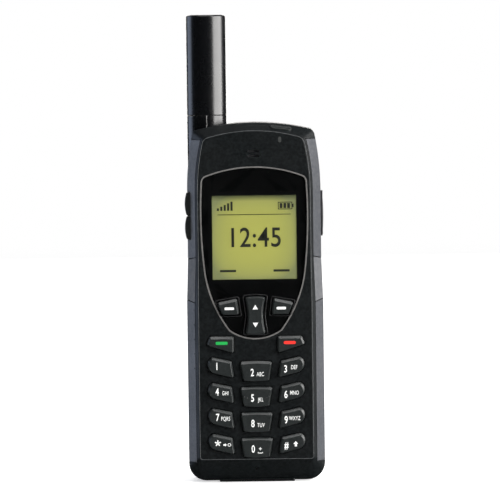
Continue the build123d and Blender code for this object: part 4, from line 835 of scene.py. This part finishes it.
clock = lettering("12:45", CLOCK_HEIGHT, CLOCK_WIDTH_FACTOR, CLOCK_WEIGHT)
screen = [moved(clock, screen_x, screen_y, CLOCK_Z)]
for index in range(SIGNAL_BARS):
    bar_height = SIGNAL_SHORTEST + SIGNAL_GROWTH * index
    bar_x = -WINDOW_HALF + SIGNAL_INSET + SIGNAL_PITCH * index
    screen.append(screen_bar(SIGNAL_WIDTH, bar_height, bar_x, SIGNAL_FOOT + bar_height / 2))
for side in (1, -1):
    line_z = BATTERY_Z + side * (BATTERY_HEIGHT - BATTERY_LINE) / 2
    screen.append(screen_bar(BATTERY_LENGTH, BATTERY_LINE, BATTERY_X, line_z))
    screen.append(screen_bar(BATTERY_LINE, BATTERY_HEIGHT, BATTERY_X - side * BATTERY_END, BATTERY_Z))
screen.append(screen_bar(POLE_WIDTH, POLE_HEIGHT, BATTERY_X + POLE_X, BATTERY_Z))
for index in range(BATTERY_CELLS):
    cell_x = BATTERY_X + FIRST_CELL + CELL_PITCH * index
    screen.append(screen_bar(CELL_WIDTH, CELL_HEIGHT, cell_x, BATTERY_Z))
screen.append(screen_bar(RULE_LENGTH, RULE_HEIGHT, screen_x, WINDOW_TOP - RULE_DROP))
for side in (-1, 1):
    mark_x, mark_z = side * SOFT_MARK_X, WINDOW_LOW + SOFT_MARK_RISE
    screen.append(screen_bar(SOFT_MARK_LENGTH, SOFT_MARK_HEIGHT, mark_x, mark_z, SOFT_MARK_CORNER))
place("display_marks", joined(screen), ROOT, lcd_ink)

# ---------------------------------------------------------------- floor
FLOOR_RADIUS = 2.2
FADE_START, FADE_END = 0.35, 1.9


def pale_floor():
    """A matt white sheet that fades out with distance, so that no edge shows."""
    material, shader = new_material("floor", (0.93, 0.93, 0.93), 0.75, Specular_IOR_Level=0.1)
    shader.inputs["Emission Color"].default_value = (1.0, 1.0, 1.0, 1.0)
    shader.inputs["Emission Strength"].default_value = 0.55
    tree = material.node_tree
    length = tree.nodes.new("ShaderNodeVectorMath")
    length.operation = "LENGTH"
    tree.links.new(place_coordinates(material), length.inputs[0])
    fade = tree.nodes.new("ShaderNodeMapRange")
    fade.interpolation_type = "SMOOTHSTEP"
    fade.inputs["From Min"].default_value = FADE_START
    fade.inputs["From Max"].default_value = FADE_END
    fade.inputs["To Min"].default_value = 1.0
    fade.inputs["To Max"].default_value = 0.0
    tree.links.new(length.outputs["Value"], fade.inputs["Value"])
    tree.links.new(fade.outputs["Result"], shader.inputs["Alpha"])
    return material


floor_shape = bmesh.new()
bmesh.ops.create_circle(floor_shape, cap_ends=True, segments=96, radius=FLOOR_RADIUS)
floor_mesh = bpy.data.meshes.new("floor")
floor_shape.to_mesh(floor_mesh)
floor_shape.free()
floor_mesh.materials.append(pale_floor())
floor = bpy.data.objects.new("floor", floor_mesh)
bpy.context.scene.collection.objects.link(floor)
floor.visible_glossy = False
